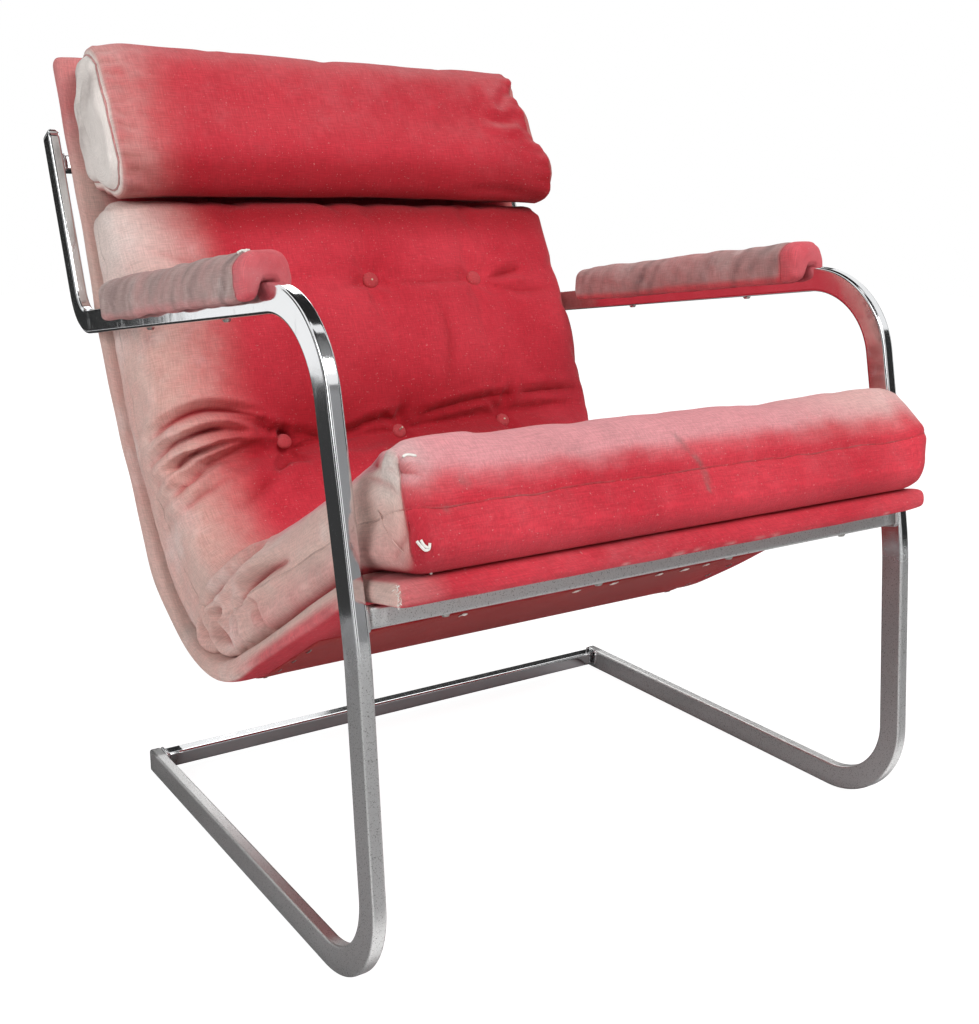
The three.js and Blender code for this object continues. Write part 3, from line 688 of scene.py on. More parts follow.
def make_camera():
    """Camera at the photographer's place."""
    data = bpy.data.cameras.new("photo_camera")
    data.sensor_fit = "HORIZONTAL"
    data.sensor_width = SENSOR_WIDTH
    data.lens = FOCAL_PIXELS * SENSOR_WIDTH / PHOTO_WIDTH
    camera = bpy.data.objects.new("photo_camera", data)
    turn = Matrix((view_right, view_up, -view_forward)).transposed().to_4x4()
    camera.matrix_world = Matrix.Translation(Vector(CAMERA_PLACE)) @ turn
    bpy.context.scene.collection.objects.link(camera)
    bpy.context.scene.camera = camera


def press_folds(points, outward, surface, folds):
    """Presses folds given as pixels, and gives their shade, darker for the deeper ones."""
    shade = np.zeros(len(points))
    for pixels, width, depth, ridge in folds:
        path = seen_at(surface, pixels)
        if len(path) > 1:
            points, dark = fold(points, outward, smooth_path(path), width, FOLD_SHARE * depth, ridge)
            shade = np.maximum(shade, dark * depth / DEEP_FOLD)
    return points, shade


def surface_of(obj):
    corners = [tuple(point) for point in coordinates(obj)]
    return BVHTree.FromPolygons(corners, [tuple(face.vertices) for face in obj.data.polygons])


def seen_at(surface, pixels):
    """Points of a surface that the photograph shows at pixels."""
    found = []
    for x, y in pixels:
        ray = (view_forward * FOCAL_PIXELS + view_right * (x - PHOTO_WIDTH / 2)
               - view_up * (y - PHOTO_HEIGHT / 2))
        hit, _, _, _ = surface.ray_cast(Vector(CAMERA_PLACE), Vector(ray).normalized())
        if hit is not None:
            found.append(np.array(hit))
    return found


# Materials
class Nodes:
    """A node tree that starts empty."""

    def __init__(self, owner):
        owner.use_nodes = True
        self.tree = owner.node_tree
        self.tree.nodes.clear()

    def add(self, kind, sockets=None, **settings):
        node = self.tree.nodes.new(kind)
        for key, value in settings.items():
            setattr(node, key, value)
        self.fill(node, sockets or {})
        return node

    def fill(self, node, sockets):
        for key, value in sockets.items():
            if isinstance(value, bpy.types.NodeSocket):
                self.tree.links.new(value, node.inputs[key])
            else:
                node.inputs[key].default_value = value

    def math(self, operation, a, b=0.0):
        return self.add("ShaderNodeMath", {0: a, 1: b}, operation=operation).outputs[0]

    def times(self, a, b):
        return self.math("MULTIPLY", a, b)

    def plus(self, a, b):
        return self.math("ADD", a, b)

    def seen(self):
        """1 for what the camera sees, itself or in a mirror."""
        rays = self.add("ShaderNodeLightPath").outputs
        return self.math("MAXIMUM", rays["Is Camera Ray"], rays["Is Glossy Ray"])


class Graph(Nodes):
    """A material with a principled shader."""

    def __init__(self, name):
        self.material = bpy.data.materials.new(name)
        super().__init__(self.material)
        self.shader = self.add("ShaderNodeBsdfPrincipled")
        self.add("ShaderNodeOutputMaterial", {0: self.shader.outputs[0]})

    def shade(self, **sockets):
        self.fill(self.shader, {key.replace("_", " "): value for key, value in sockets.items()})

    def place(self):
        return self.add("ShaderNodeTexCoord").outputs["Object"]

    def attribute(self, name, output="Fac"):
        return self.add("ShaderNodeAttribute", attribute_name=name).outputs[output]

    def noise(self, scale, detail, roughness, vector=None):
        vector = vector or self.place()
        sockets = {"Scale": scale, "Detail": detail, "Roughness": roughness, "Vector": vector}
        return self.add("ShaderNodeTexNoise", sockets).outputs[0]

    def stretched(self, scales, vector=None):
        return self.add("ShaderNodeMapping", {"Vector": vector or self.place(), "Scale": scales}).outputs[0]

    def span(self, value, low, high, start=0.0, end=1.0):
        sockets = {0: value, 1: low, 2: high, 3: start, 4: end}
        return self.add("ShaderNodeMapRange", sockets, interpolation_type="SMOOTHSTEP").outputs[0]

    def mix(self, share, a, b, blend="MIX"):
        sockets = {0: share}
        for key, value in ((6, a), (7, b)):
            sockets[key] = value if isinstance(value, bpy.types.NodeSocket) else (*value, 1)
        return self.add("ShaderNodeMix", sockets, data_type="RGBA", blend_type=blend).outputs[2]

    def bump(self, height, distance, strength=1.0, normal=None):
        sockets = {"Height": height, "Distance": distance, "Strength": strength}
        if normal is not None:
            sockets["Normal"] = normal
        return self.add("ShaderNodeBump", sockets).outputs[0]


# Noises, as (scale, detail, roughness), and the stretch of the two that follow the threads
CLOUDS = (7, 5, 0.6)
PATCHES = (26, 6, 0.65)
SPECKS = (420, 3, 0.7)
PALE_CLOUDS = (15, 5, 0.6)
CREASES = (70, 4, 0.6)
SLUBS = (1.0, 3, 0.6)
SLUB_STRETCHES = ((900, 60, 200), (60, 900, 200))
THREAD_PITCH = 0.0012
COARSE_RELIEF = 0.0012
SLUB_RELIEF = 0.0005
WEAVE_RELIEF = 0.00018
DEEP_RED = (0.34, 0.006, 0.014)
MIDDLE_RED = (0.53, 0.022, 0.040)
BRIGHT_RED = (0.66, 0.045, 0.068)
PINK_RED = (0.72, 0.30, 0.32)
FADED = (0.67, 0.46, 0.395)
SOIL = (0.20, 0.13, 0.12)
PALE = (0.85, 0.80, 0.76)


def canvas(name, deep, middle, bright, faded=FADED, soil_colour=SOIL, weave=1.0, flecked=0.22):
    """Canvas with its wear and painted shade from the mesh: fade, pale, sun, deep and soil, from 0 to 1;
    deep and soil also carry painted shade.
    """
    graph = Graph(name)
    across_cloth = graph.attribute("cloth", "Vector")
    cloth = graph.add("ShaderNodeSeparateXYZ", {0: across_cloth})
    thread_rate = 2 * math.pi / THREAD_PITCH
    warp = graph.math("SINE", graph.times(cloth.outputs[0], thread_rate))
    weft = graph.math("SINE", graph.times(cloth.outputs[1], thread_rate))
    weave_height = graph.times(warp, weft)
    threadwise = [graph.stretched(stretch, across_cloth) for stretch in SLUB_STRETCHES]
    slub = graph.plus(*[graph.noise(*SLUBS, vector) for vector in threadwise])
    patchy = graph.noise(*PATCHES)
    centred = graph.math("SUBTRACT", patchy, 0.5)

    base = graph.mix(graph.span(graph.noise(*CLOUDS), 0.3, 0.7), middle, bright)
    sunned = graph.plus(graph.attribute("sun"), graph.times(centred, 0.6))
    base = graph.mix(graph.span(sunned, 0.05, 0.95), base, PINK_RED)
    # Deep turns the red to the deep colour: the cloth's own deeper tone, and painted shade in creases, fold
    # and gather valleys and on undersides
    base = graph.mix(graph.attribute("deep"), base, deep)
    worn = graph.attribute("fade")
    blotches = graph.times(graph.times(centred, 0.55), graph.span(worn, 0.02, 0.3))
    fade = graph.add("ShaderNodeClamp", {0: graph.plus(worn, blotches)}).outputs[0]
    pale = graph.times(graph.span(graph.noise(*PALE_CLOUDS), 0.5, 0.75), 0.45)
    base = graph.mix(fade, base, graph.mix(pale, faded, PALE))
    base = graph.mix(graph.attribute("pale"), base, PALE)
    # Soil colour from dirt, and on the cushion also painted shade along the fold valleys
    soil = graph.times(graph.attribute("soil"), graph.span(patchy, 0.3, 0.75))
    base = graph.mix(soil, base, soil_colour)
    flecks = graph.times(graph.span(graph.noise(*SPECKS), 0.64, 0.72), flecked)
    base = graph.mix(flecks, base, PALE)
    threads_seen = graph.plus(slub, graph.times(weave_height, 0.12))
    lines = graph.span(threads_seen, 0.75, 1.25, 0.84, 1.1)
    tint = graph.add("ShaderNodeCombineColor", {0: lines, 1: lines, 2: lines}).outputs[0]
    base = graph.mix(1.0, base, tint, "MULTIPLY")

    coarse = graph.bump(graph.noise(*CREASES), COARSE_RELIEF, 0.5)
    threads = graph.bump(slub, SLUB_RELIEF, 0.5 * weave, coarse)
    fine = graph.bump(weave_height, WEAVE_RELIEF, 0.6 * weave, threads)
    graph.shade(Base_Color=base, Roughness=0.9, Normal=fine, Sheen_Weight=0.05, Sheen_Roughness=0.5,
                Specular_IOR_Level=0.25)
    return graph.material


BRIGHT_PLATING = (0.80, 0.81, 0.82)
DULL_PLATING = (0.68, 0.68, 0.675)
PIT_COLOUR = (0.16, 0.15, 0.14)
RUST_COLOUR = (0.20, 0.12, 0.08)
PLATING_BLOTCHES = (18, 5, 0.6)
PLATING_GRAIN = (900, 4, 0.7)
PLATING_SCRATCHES = (1.0, 2, 0.5)
SCRATCH_STRETCH = (1400, 90, 60)
RUST_SPOTS = (60, 6, 0.7)
PLATING_SWELL = (35, 2, 0.5)
PLATING_RELIEF = 0.0004


def chrome(name):
    """Plating that is bright where the mesh says dull 0 and grey, speckled and pitted where it says 1."""
    graph = Graph(name)
    blotch = graph.times(graph.math("SUBTRACT", graph.noise(*PLATING_BLOTCHES), 0.5), 0.9)
    worn = graph.span(graph.plus(graph.attribute("dull"), blotch), 0.3, 0.8)
    grain = graph.noise(*PLATING_GRAIN)
    pits = graph.times(graph.span(grain, 0.55, 0.68), worn)
    scratches = graph.span(graph.noise(*PLATING_SCRATCHES, graph.stretched(SCRATCH_STRETCH)), 0.6, 0.72)
    rust = graph.times(graph.span(graph.noise(*RUST_SPOTS), 0.66, 0.76), worn)
    colour = graph.mix(worn, BRIGHT_PLATING, DULL_PLATING)
    colour = graph.mix(pits, colour, PIT_COLOUR)
    colour = graph.mix(graph.times(rust, 0.5), colour, RUST_COLOUR)
    rough = graph.plus(graph.span(worn, 0, 1, 0.09, 0.38), graph.times(scratches, 0.07))
    rough = graph.plus(rough, graph.times(pits, 0.25))
    swell = graph.bump(graph.noise(*PLATING_SWELL), PLATING_RELIEF, 0.35)
    fine = graph.bump(graph.times(grain, worn), PLATING_RELIEF, 0.5, swell)
    graph.shade(Base_Color=colour, Metallic=1.0, Roughness=rough, Normal=fine)
    return graph.material


SIMPLE_RELIEF = 0.0002


def simple(name, colour, second, scale, roughness, metallic=0.0, stretch=(1, 1, 1)):
    """Plain material with a noisy colour and relief."""
    graph = Graph(name)
    grain = graph.noise(scale, 6, 0.6, graph.stretched(stretch))
    base = graph.mix(graph.span(grain, 0.35, 0.65), colour, second)
    rough = graph.span(grain, 0.3, 0.7, roughness * 0.85, min(roughness * 1.15, 1))
    fine = graph.bump(grain, SIMPLE_RELIEF, 0.6)
    graph.shade(Base_Color=base, Metallic=metallic, Roughness=rough, Normal=fine)
    return graph.material


CHROME = chrome("chrome")
CHAIR_REDS = (DEEP_RED, MIDDLE_RED, BRIGHT_RED)
RED_CANVAS = canvas("red_canvas", *CHAIR_REDS)
WRAP_CANVAS = canvas("wrap_canvas", *CHAIR_REDS)
ARM_REDS = (DEEP_RED, (0.64, 0.05, 0.07), (0.76, 0.08, 0.11))
ARM_FADED = (0.42, 0.29, 0.27)
ARM_SOIL = (0.17, 0.10, 0.10)
ARM_CANVAS = canvas("arm_canvas", *ARM_REDS, ARM_FADED, ARM_SOIL)
BACKING_REDS = ((0.20, 0.005, 0.006), (0.32, 0.012, 0.012), (0.38, 0.016, 0.016))
BACKING = canvas("backing_cloth", *BACKING_REDS, weave=0.4, flecked=0.2)
PLYWOOD = simple("plywood", (0.52, 0.34, 0.18), (0.40, 0.24, 0.12), 6, 0.65, stretch=(1, 12, 12))
STEEL = simple("zinc_steel", (0.55, 0.55, 0.53), (0.40, 0.39, 0.36), 300, 0.4, 1.0)
BLACK = simple("black_plastic", (0.012, 0.012, 0.013), (0.02, 0.02, 0.021), 500, 0.5)
TWINE = simple("twine", (0.62, 0.56, 0.44), (0.50, 0.44, 0.33), 400, 0.85)
WHITE_THREAD = simple("white_thread", (0.86, 0.84, 0.80), (0.70, 0.67, 0.62), 300, 0.85)
PALE_FIBRE = simple("pale_fibre", (0.70, 0.60, 0.55), (0.80, 0.76, 0.72), 200, 0.9)


# Frame
def tube_rings(path_points, path_tangents, across, section):
    rings = []
    for point, tangent in zip(path_points, path_tangents):
        side = left_of(tangent)
        rings.append([in_chair(across - s[0], point + side * s[1]) for s in section])
    return np.array(rings)


TUBE_STEP = 0.02


def long_walk(path):
    """Path distances: its own stations, with the straights cut into short steps."""
    walk = [0.0]
    for distance in path.distances[1:]:
        while distance - walk[-1] > TUBE_STEP:
            walk.append(walk[-1] + TUBE_STEP)
        if distance - walk[-1] > LEAST_STEP:
            walk.append(distance)
    return np.array(walk)


SIDES = (("left", -FRAME_X), ("right", FRAME_X))
LEAST_STEP = 1e-6
# Heights at which the side frames' plating starts to be dull, and is dull
DULL_BAND = (0.44, 0.18)
LEAST_DULL = 0.05
BAR_STOPS = 31
BEAD_GROWTH = 0.0016
BEAD_CORNER_GROWTH = 0.001
BEAD_RADIUS = 0.0019
BEAD_INSET = 0.0004
BEAD_RIPPLE = 0.0005
BEAD_RIPPLE_RATE = 1.9
BEAD_DULL = 0.55


def make_frame():
    section = rectangle_section(TUBE_WIDTH, TUBE_DEPTH, TUBE_CORNER)
    walk = long_walk(frame_path)
    for side, across in SIDES:
        rings = tube_rings(frame_path.at(walk), frame_path.tangent(walk), across, section)
        tube = loft(f"frame_tube_{side}", rings, CHROME)
        points = coordinates(tube)
        dull = smoothstep(*DULL_BAND, points[:, 2] + 0.03 * wave_noise(points, *DULL_NOISE))
        set_attribute(tube, "dull", (1 - LEAST_DULL) * dull + LEAST_DULL)
        place_piece(tube, "chrome_tube", f"side_frame_{side}")


def evenly_dull(obj, dull):
    set_attribute(obj, "dull", np.full(len(obj.data.vertices), dull))


def placed_section(section, centre, face):
    side = left_of(face)
    return [centre + face * s[0] + side * s[1] for s in section]


def make_bar(name, node, centre, face, dull):
    """Square bar across the chair and a weld bead round each end."""
    half = FRAME_X - TUBE_WIDTH / 2 - GAP
    corners = placed_section(rectangle_section(BAR_SIDE, BAR_SIDE, TUBE_CORNER), centre, face)
    stops = np.linspace(-half, half, BAR_STOPS)
    bar = loft(name, [in_chair(x, corners) for x in stops], CHROME)
    evenly_dull(bar, dull)
    place_piece(bar, "chrome_tube", node)
    bead_side = BAR_SIDE + BEAD_GROWTH
    bead = rectangle_section(bead_side, bead_side, TUBE_CORNER + BEAD_CORNER_GROWTH, 4)
    for label, end in (("left", -1), ("right", 1)):
        ring = smooth_path(placed_section(np.vstack([bead, bead[:1]]), centre, face), 3)[:-1]
        ripple = BEAD_RIPPLE * np.sin(np.arange(len(ring)) * BEAD_RIPPLE_RATE)
        weld_path = in_chair(end * (half - BEAD_INSET + ripple), ring)
        weld = thread(f"{name}_weld_{label}", weld_path, BEAD_RADIUS, CHROME, 8, closed=True)
        evenly_dull(weld, max(dull, BEAD_DULL))
        place_piece(weld, "chrome_tube")


# Rings of a plug, as (height from the tube's end, inset), then those of its crown or of its flat end
PLUG_RINGS = [(-0.012, 0.0018), (0.0003, 0.0018), (0.0003, 0.0003), (0.0012, 0.0), (0.0022, 0.0002)]
DOME_RINGS = [(0.0032, 0.0005), (0.0046, 0.0012), (0.0057, 0.0023), (0.0063, 0.0038), (0.0065, 0.0055)]
FLAT_RINGS = [(0.0027, 0.0009), (0.0028, 0.0035)]
PLUG_CORNER_MARGIN = 0.0002
PLUG_SUPPORT = 0.0001
PLUG_DULL = 0.1


def make_plug(name, node, end, outward, across, domed):
    """Plug in an open tube end: a stem, a flange, and a chromed crown or a flat black end."""
    rings = []
    side = left_of(outward)
    for height, inset in PLUG_RINGS + (DOME_RINGS if domed else FLAT_RINGS):
        width = TUBE_WIDTH - 2 * inset
        corner = min(TUBE_CORNER, width / 2 - PLUG_CORNER_MARGIN)
        section = rectangle_section(width, TUBE_DEPTH - 2 * inset, corner, 5, PLUG_SUPPORT)
        place = end + outward * height
        rings.append([in_chair(across - s[0], place + side * s[1]) for s in section])
    plug = loft(name, rings, CHROME if domed else BLACK)
    if domed:
        evenly_dull(plug, PLUG_DULL)
    place_piece(plug, "chrome_tube" if domed else "black_plastic", node)


def make_frame_pieces():
    make_frame()
    make_bar("floor_bar", "floor_crossbar", floor_bar, heading(0), 0.25)
    make_bar("seat_bar", "seat_crossbar", seat_bar, lip_heading, 0.8)
    make_bar("back_bar", "back_crossbar", back_bar, up_upright, 0.3)
    for side, across in SIDES:
        make_plug(f"runner_cap_{side}", f"runner_plug_{side}", runner_end, heading(0), across, False)
        make_plug(f"upright_cap_{side}", f"upright_plug_{side}", upright_top, up_upright, across, True)


# Shell
def slab_points(local, path):
    """Points given as (across, distance along, rise to the left of the path)."""
    point = path.at(local[:, 1])
    tangent = path.tangent(local[:, 1])
    side = np.stack([-tangent[:, 1], tangent[:, 0]], -1)
    return in_chair(local[:, 0], point + side * local[:, 2:3])


def slab_cloth(name, low, high, spacings, support, radii, material, runs_on):
    """Rounded slab along the shell's middle, with a support line close to each edge."""
    sides = [levels(low[k], high[k], spacings[k], [low[k] + support, high[k] - support]) for k in (0, 1)]
    lattice, faces, _, _ = box_lattice(*sides, levels(low[2], high[2], spacings[2]))
    local = rounded(lattice, low, high, radii)
    cloth = new_object(name, slab_points(local, shell_middle), faces, material)
    set_attribute(cloth, "cloth", local + local[:, 2:3] * ([1, 1, 0] if runs_on else [0, 0, 0]))
    set_attribute(cloth, "local", local)
    subdivide(cloth)
    return cloth, get_vectors(cloth, "local")


WRAP_SPACINGS = (0.012, 0.009, 0.0037)
WRAP_SUPPORT = 0.004
WRAP_ROUNDING = [0.0095, 0.0095, 0.0095]
# Zones of the wrap, each as (where it starts, where it is full) in metres from the rim, a side,
# the front or the top
WRAP_RIM = (0.03, 0.006)
WRAP_LEFT_SIDE = (0.055, 0.02)
WRAP_RIGHT_SIDE = (0.03, 0.01)
WRAP_LIP = (0.09, 0.04)
WRAP_BEND_START = (0.06, 0.14)
WRAP_BEND_END = (0.37, 0.26)
WRAP_TOP = (0.17, 0.06)
FRAY_REACH = 0.004
FRAY_RISE = 0.0030


def make_shell():
    half = SHELL_THICKNESS / 2
    low = np.array([-SHELL_HALF, 0, -half])
    high = np.array([SHELL_HALF, shell_middle.length, half])
    wrap, local = slab_cloth(
        "shell_cover", low, high, WRAP_SPACINGS, WRAP_SUPPORT, WRAP_ROUNDING, WRAP_CANVAS, True)
    points = coordinates(wrap)
    rim = smoothstep(*WRAP_RIM, SHELL_HALF - np.abs(local[:, 0]))
    points = points + normals(wrap) * (relief(points, WRAP_RELIEF) * (0.35 + rim))[:, None]
    set_coordinates(wrap, points)
    set_wear_and_shade(wrap, **wrap_wear_and_shade(points, local, normals(wrap)))
    place_piece(wrap, "faded_canvas", "shell_wrap")
    return wrap


def wrap_wear_and_shade(points, local, facing):
    across, along, rise = local.T
    half = SHELL_THICKNESS / 2
    level = rise / half
    noise = wave_noise(points, *WRAP_NOISE)
    left = smoothstep(*WRAP_LEFT_SIDE, across + SHELL_HALF + 0.01 * noise)
    lip = smoothstep(*WRAP_LIP, along)
    side_wall = smoothstep(-0.2, -0.8, facing[:, 0])
    right = smoothstep(*WRAP_RIGHT_SIDE, SHELL_HALF - across) * 0.3
    # Painted shade: deeper red on the cover's underside and the lower half of its edges, away from the lip
    low_side = smoothstep(0, -half, rise) * (1 - left)
    bend = smoothstep(*WRAP_BEND_START, along) * smoothstep(*WRAP_BEND_END, along)
    underside = smoothstep(-0.5, -0.95, level) * (1 - side_wall)
    top_end = smoothstep(*WRAP_TOP, shell_middle.length - along) * smoothstep(-0.95, -0.6, level)
    left = left * (1 - underside)
    faded = 0.85 * left * (1 - lip * (1 - side_wall)) * (1 - 0.7 * top_end)
    faded = faded - 0.95 * bend * smoothstep(0.45, -0.45, level)
    frayed_edge = bell(along, FRAY_REACH) * bell(rise + half, FRAY_RISE)
    rubbed = frayed_edge * smoothstep(0.6, 1.1, sum(wave_noise(points, *noise) for noise in FRAY_NOISES))
    return {
        "fade": faded + right * (1 - lip) + 0.7 * rubbed + 0.06 * noise * left,
        "pale": 0.12 * left + 0.5 * rubbed,
        "sun": 0.12 * lip + 0.08 * noise + 0.8 * rubbed,
        "deep": 0.75 * low_side * (1 - lip) + 0.2 * (1 - left) * (1 - lip),
        "soil": 0.22 * left * (0.6 + noise),
    }


PANEL_HALF = SHELL_HALF - WRAP_RETURN
PANEL_PROUD = 0.0012
PANEL_SUNK = 0.002
PANEL_SPACINGS = (0.010, 0.010, 0.0011)
PANEL_SUPPORT = 0.002
PANEL_ROUNDING = [0.0014, 0.0014, 0.0012]
PUCKER_DEPTH = 0.0005
PUCKER_BAND = (0.03, 0.004)
PUCKER_SIDE = 0.02
TACK_PITCH = 0.046
panel_end = shell_middle.length - WRAP_RETURN


def make_back_panel():
    back = -SHELL_THICKNESS / 2
    low = np.array([-PANEL_HALF, WRAP_FRONT_RETURN, back - PANEL_PROUD])
    high = np.array([PANEL_HALF, panel_end, back + PANEL_SUNK])
    panel, local = slab_cloth(
        "shell_back_cloth", low, high, PANEL_SPACINGS, PANEL_SUPPORT, PANEL_ROUNDING, BACKING, False)
    across, along, _ = local.T
    from_side = PANEL_HALF - np.abs(across)
    edge = np.minimum(from_side, np.minimum(along - WRAP_FRONT_RETURN, panel_end - along))
    run = np.where(from_side < PUCKER_SIDE, along, across)
    pucker = PUCKER_DEPTH * np.sin(2 * math.pi * run / TACK_PITCH) * smoothstep(*PUCKER_BAND, edge)
    points = coordinates(panel)
    set_coordinates(panel, points + normals(panel) * pucker[:, None])
    noise = wave_noise(points, *PANEL_NOISE)
    set_wear_and_shade(panel, fade=0.06 * noise, deep=0.2 + 0.3 * noise, soil=0.2 * noise)
    place_piece(panel, "dark_red_backing", "shell_back_panel")


TACK_INSET = 0.006
TACK_RISE = 0.0004
TACK_LEVEL = -SHELL_THICKNESS / 2 - PANEL_PROUD - TACK_RISE
TAB_PLACES = [-0.116, 0.021, 0.069, 0.129, 0.168, 0.197]
TAB_THICKNESS = 0.0006
TAB_ROUNDING = [0.001, 0.001, 0.0005]
TAB_BOW = 0.0012
STAPLE_PITCH = 0.038
SIDE_STAPLE_START = 0.04
TOP_STAPLE_START = 0.03
STAPLE_RADIUS = 0.0005
# Wire of a staple, as (along it, rise)
STAPLE_WIRE = [
    (-0.005, 0.0012), (-0.005, -0.0002), (-0.004, -0.0006), (0.004, -0.0006), (0.005, -0.0002),
    (0.005, 0.0012),
]


def make_tabs():
    """Bent tabs that hold the back panel's front edge."""
    draw = random.Random(11)
    tabs = []
    for x in TAB_PLACES:
        wide = draw.uniform(0.0032, 0.0045)
        deep = draw.uniform(0.003, 0.004)
        size = np.array([wide, deep, TAB_THICKNESS])
        grid = [np.linspace(-half, half, count) for half, count in zip(size, (6, 5, 3))]
        lattice, faces, _, _ = box_lattice(*grid)
        local = rounded(lattice, -size, size, TAB_ROUNDING)
        local[:, 2] -= TAB_BOW * (local[:, 0] / wide) ** 2 * draw.uniform(-0.4, 1.0)
        local = local + [x, WRAP_FRONT_RETURN + TACK_INSET + draw.uniform(-0.003, 0.003), TACK_LEVEL]
        tabs.append(new_object(f"tab_{x}", slab_points(local, shell_middle), faces, PALE_FIBRE))
    place_piece(join("panel_tabs", tabs), "twine")


def make_staples():
    """Staples along the back panel's side and top edges."""
    side_places = np.arange(WRAP_FRONT_RETURN + SIDE_STAPLE_START, panel_end, STAPLE_PITCH)
    top_places = np.arange(-PANEL_HALF + TOP_STAPLE_START, PANEL_HALF, STAPLE_PITCH)
    side_x = PANEL_HALF - TACK_INSET
    places = [(x, along, (0, 1)) for x in (-side_x, side_x) for along in side_places]
    places += [(x, panel_end - TACK_INSET, (1, 0)) for x in top_places]
    staples = []
    for number, (x, along, turn) in enumerate(places):
        wire = [(x + a * turn[0], along + a * turn[1], TACK_LEVEL + rise + TACK_RISE)
                for a, rise in STAPLE_WIRE]
        wire = slab_points(np.array(wire), shell_middle)
        staples.append(thread(f"staple_{number}", wire, STAPLE_RADIUS, STEEL))
    place_piece(join("panel_staples", staples), "steel_fixings")


# Lounge cushion
CUSHION_THICKNESS = 0.110
CUSHION_NOSE = 0.021
CUSHION_TAIL = 0.010
CUSHION_SPACING = 0.0076
CUSHION_LEVELS = 12
CUSHION_ROUNDING = [0.026, 0.026, 0.030]
MIDDLE_SUPPORT = 0.003
TOP_SMOOTHING = 0.022
SIDE_DRAPE = 0.02
FRONT_CROWN = 0.006
MIDDLE_CROWN = 0.017
RIGHT_BULGE = 0.020
BULGE_SPREAD = 0.26


def cushion_station(along):
    """Back and top points of the cushion at distances along it, reaching past its ends too."""
    inside = np.clip(along, 0, cushion_length)
    smooth = np.linspace(-TOP_SMOOTHING, TOP_SMOOTHING, 7)
    spread = np.clip(inside[:, None] + smooth * smoothstep(0, 0.05, inside)[:, None], 0, cushion_length)
    top = np.stack([np.interp(spread, station_places, station_tops[:, k]).mean(axis=1) for k in (0, 1)], -1)
    back = cushion_back.at(np.interp(inside, station_places, station_backs))
    rise = top - back
    rise /= np.linalg.norm(rise, axis=1, keepdims=True)
    ahead = np.stack([rise[:, 1], -rise[:, 0]], -1)
    reach = (along - inside)[:, None]
    return back + ahead * reach, top + ahead * reach, rise


def cushion_points(local):
    back, top, rise = cushion_station(local[:, 1])
    share = local[:, 2:3] / CUSHION_THICKNESS
    depth = np.linalg.norm(top - back, axis=1, keepdims=True)
    crown = FRONT_CROWN + (MIDDLE_CROWN - FRONT_CROWN) * smoothstep(0, hollow_along, local[:, 1])
    side = 1 - (local[:, 0] / CUSHION_HALF) ** 2
    end = smoothstep(-CUSHION_NOSE, 0.06, local[:, 1])
    swell = (crown * side * end)[:, None] * smoothstep(0.6, 1.0, share)
    bulge = bell(share[:, 0] - 0.5, BULGE_SPREAD) * smoothstep(0.10, 0.0, local[:, 1])
    shift = RIGHT_BULGE * bulge * smoothstep(0.20, CUSHION_HALF, local[:, 0])
    return in_chair(local[:, 0] + shift, back + rise * (share * depth + swell))


def cloth_coordinates(local, low, high):
    """Coordinates on the cloth: over the edges they run on down the sides."""
    drop = high[2] - local[:, 2]
    side_x = np.clip((np.abs(local[:, 0]) - (high[0] - SIDE_DRAPE)) / SIDE_DRAPE, 0, 1)
    side_y = np.clip((local[:, 1] - (high[1] - SIDE_DRAPE)) / SIDE_DRAPE, 0, 1)
    side_y = side_y - np.clip((low[1] + SIDE_DRAPE - local[:, 1]) / SIDE_DRAPE, 0, 1)
    over_x = np.sign(local[:, 0]) * side_x * drop
    return np.stack([local[:, 0] + over_x, local[:, 1] + side_y * drop, drop], -1)


ROW_SLANT = 0.055
LOWER_SINK = 0.0165
UPPER_SINK = 0.0095


def button_places():
    """Across, along and the heading that each button faces, lower row first."""
    rows = ((crease_along, ROW_SLANT, up_lower_back), (row_along, 0, up_upright))
    return [(x, along + slant * x, left_of(climb))
            for along, slant, climb in rows
            for x in (-BUTTON_SPACING, 0, BUTTON_SPACING)]


def from_crease(local):
    """Distance of points from the crease, which runs at a slant across the seat."""
    return local[:, 1] - crease_along - ROW_SLANT * local[:, 0]


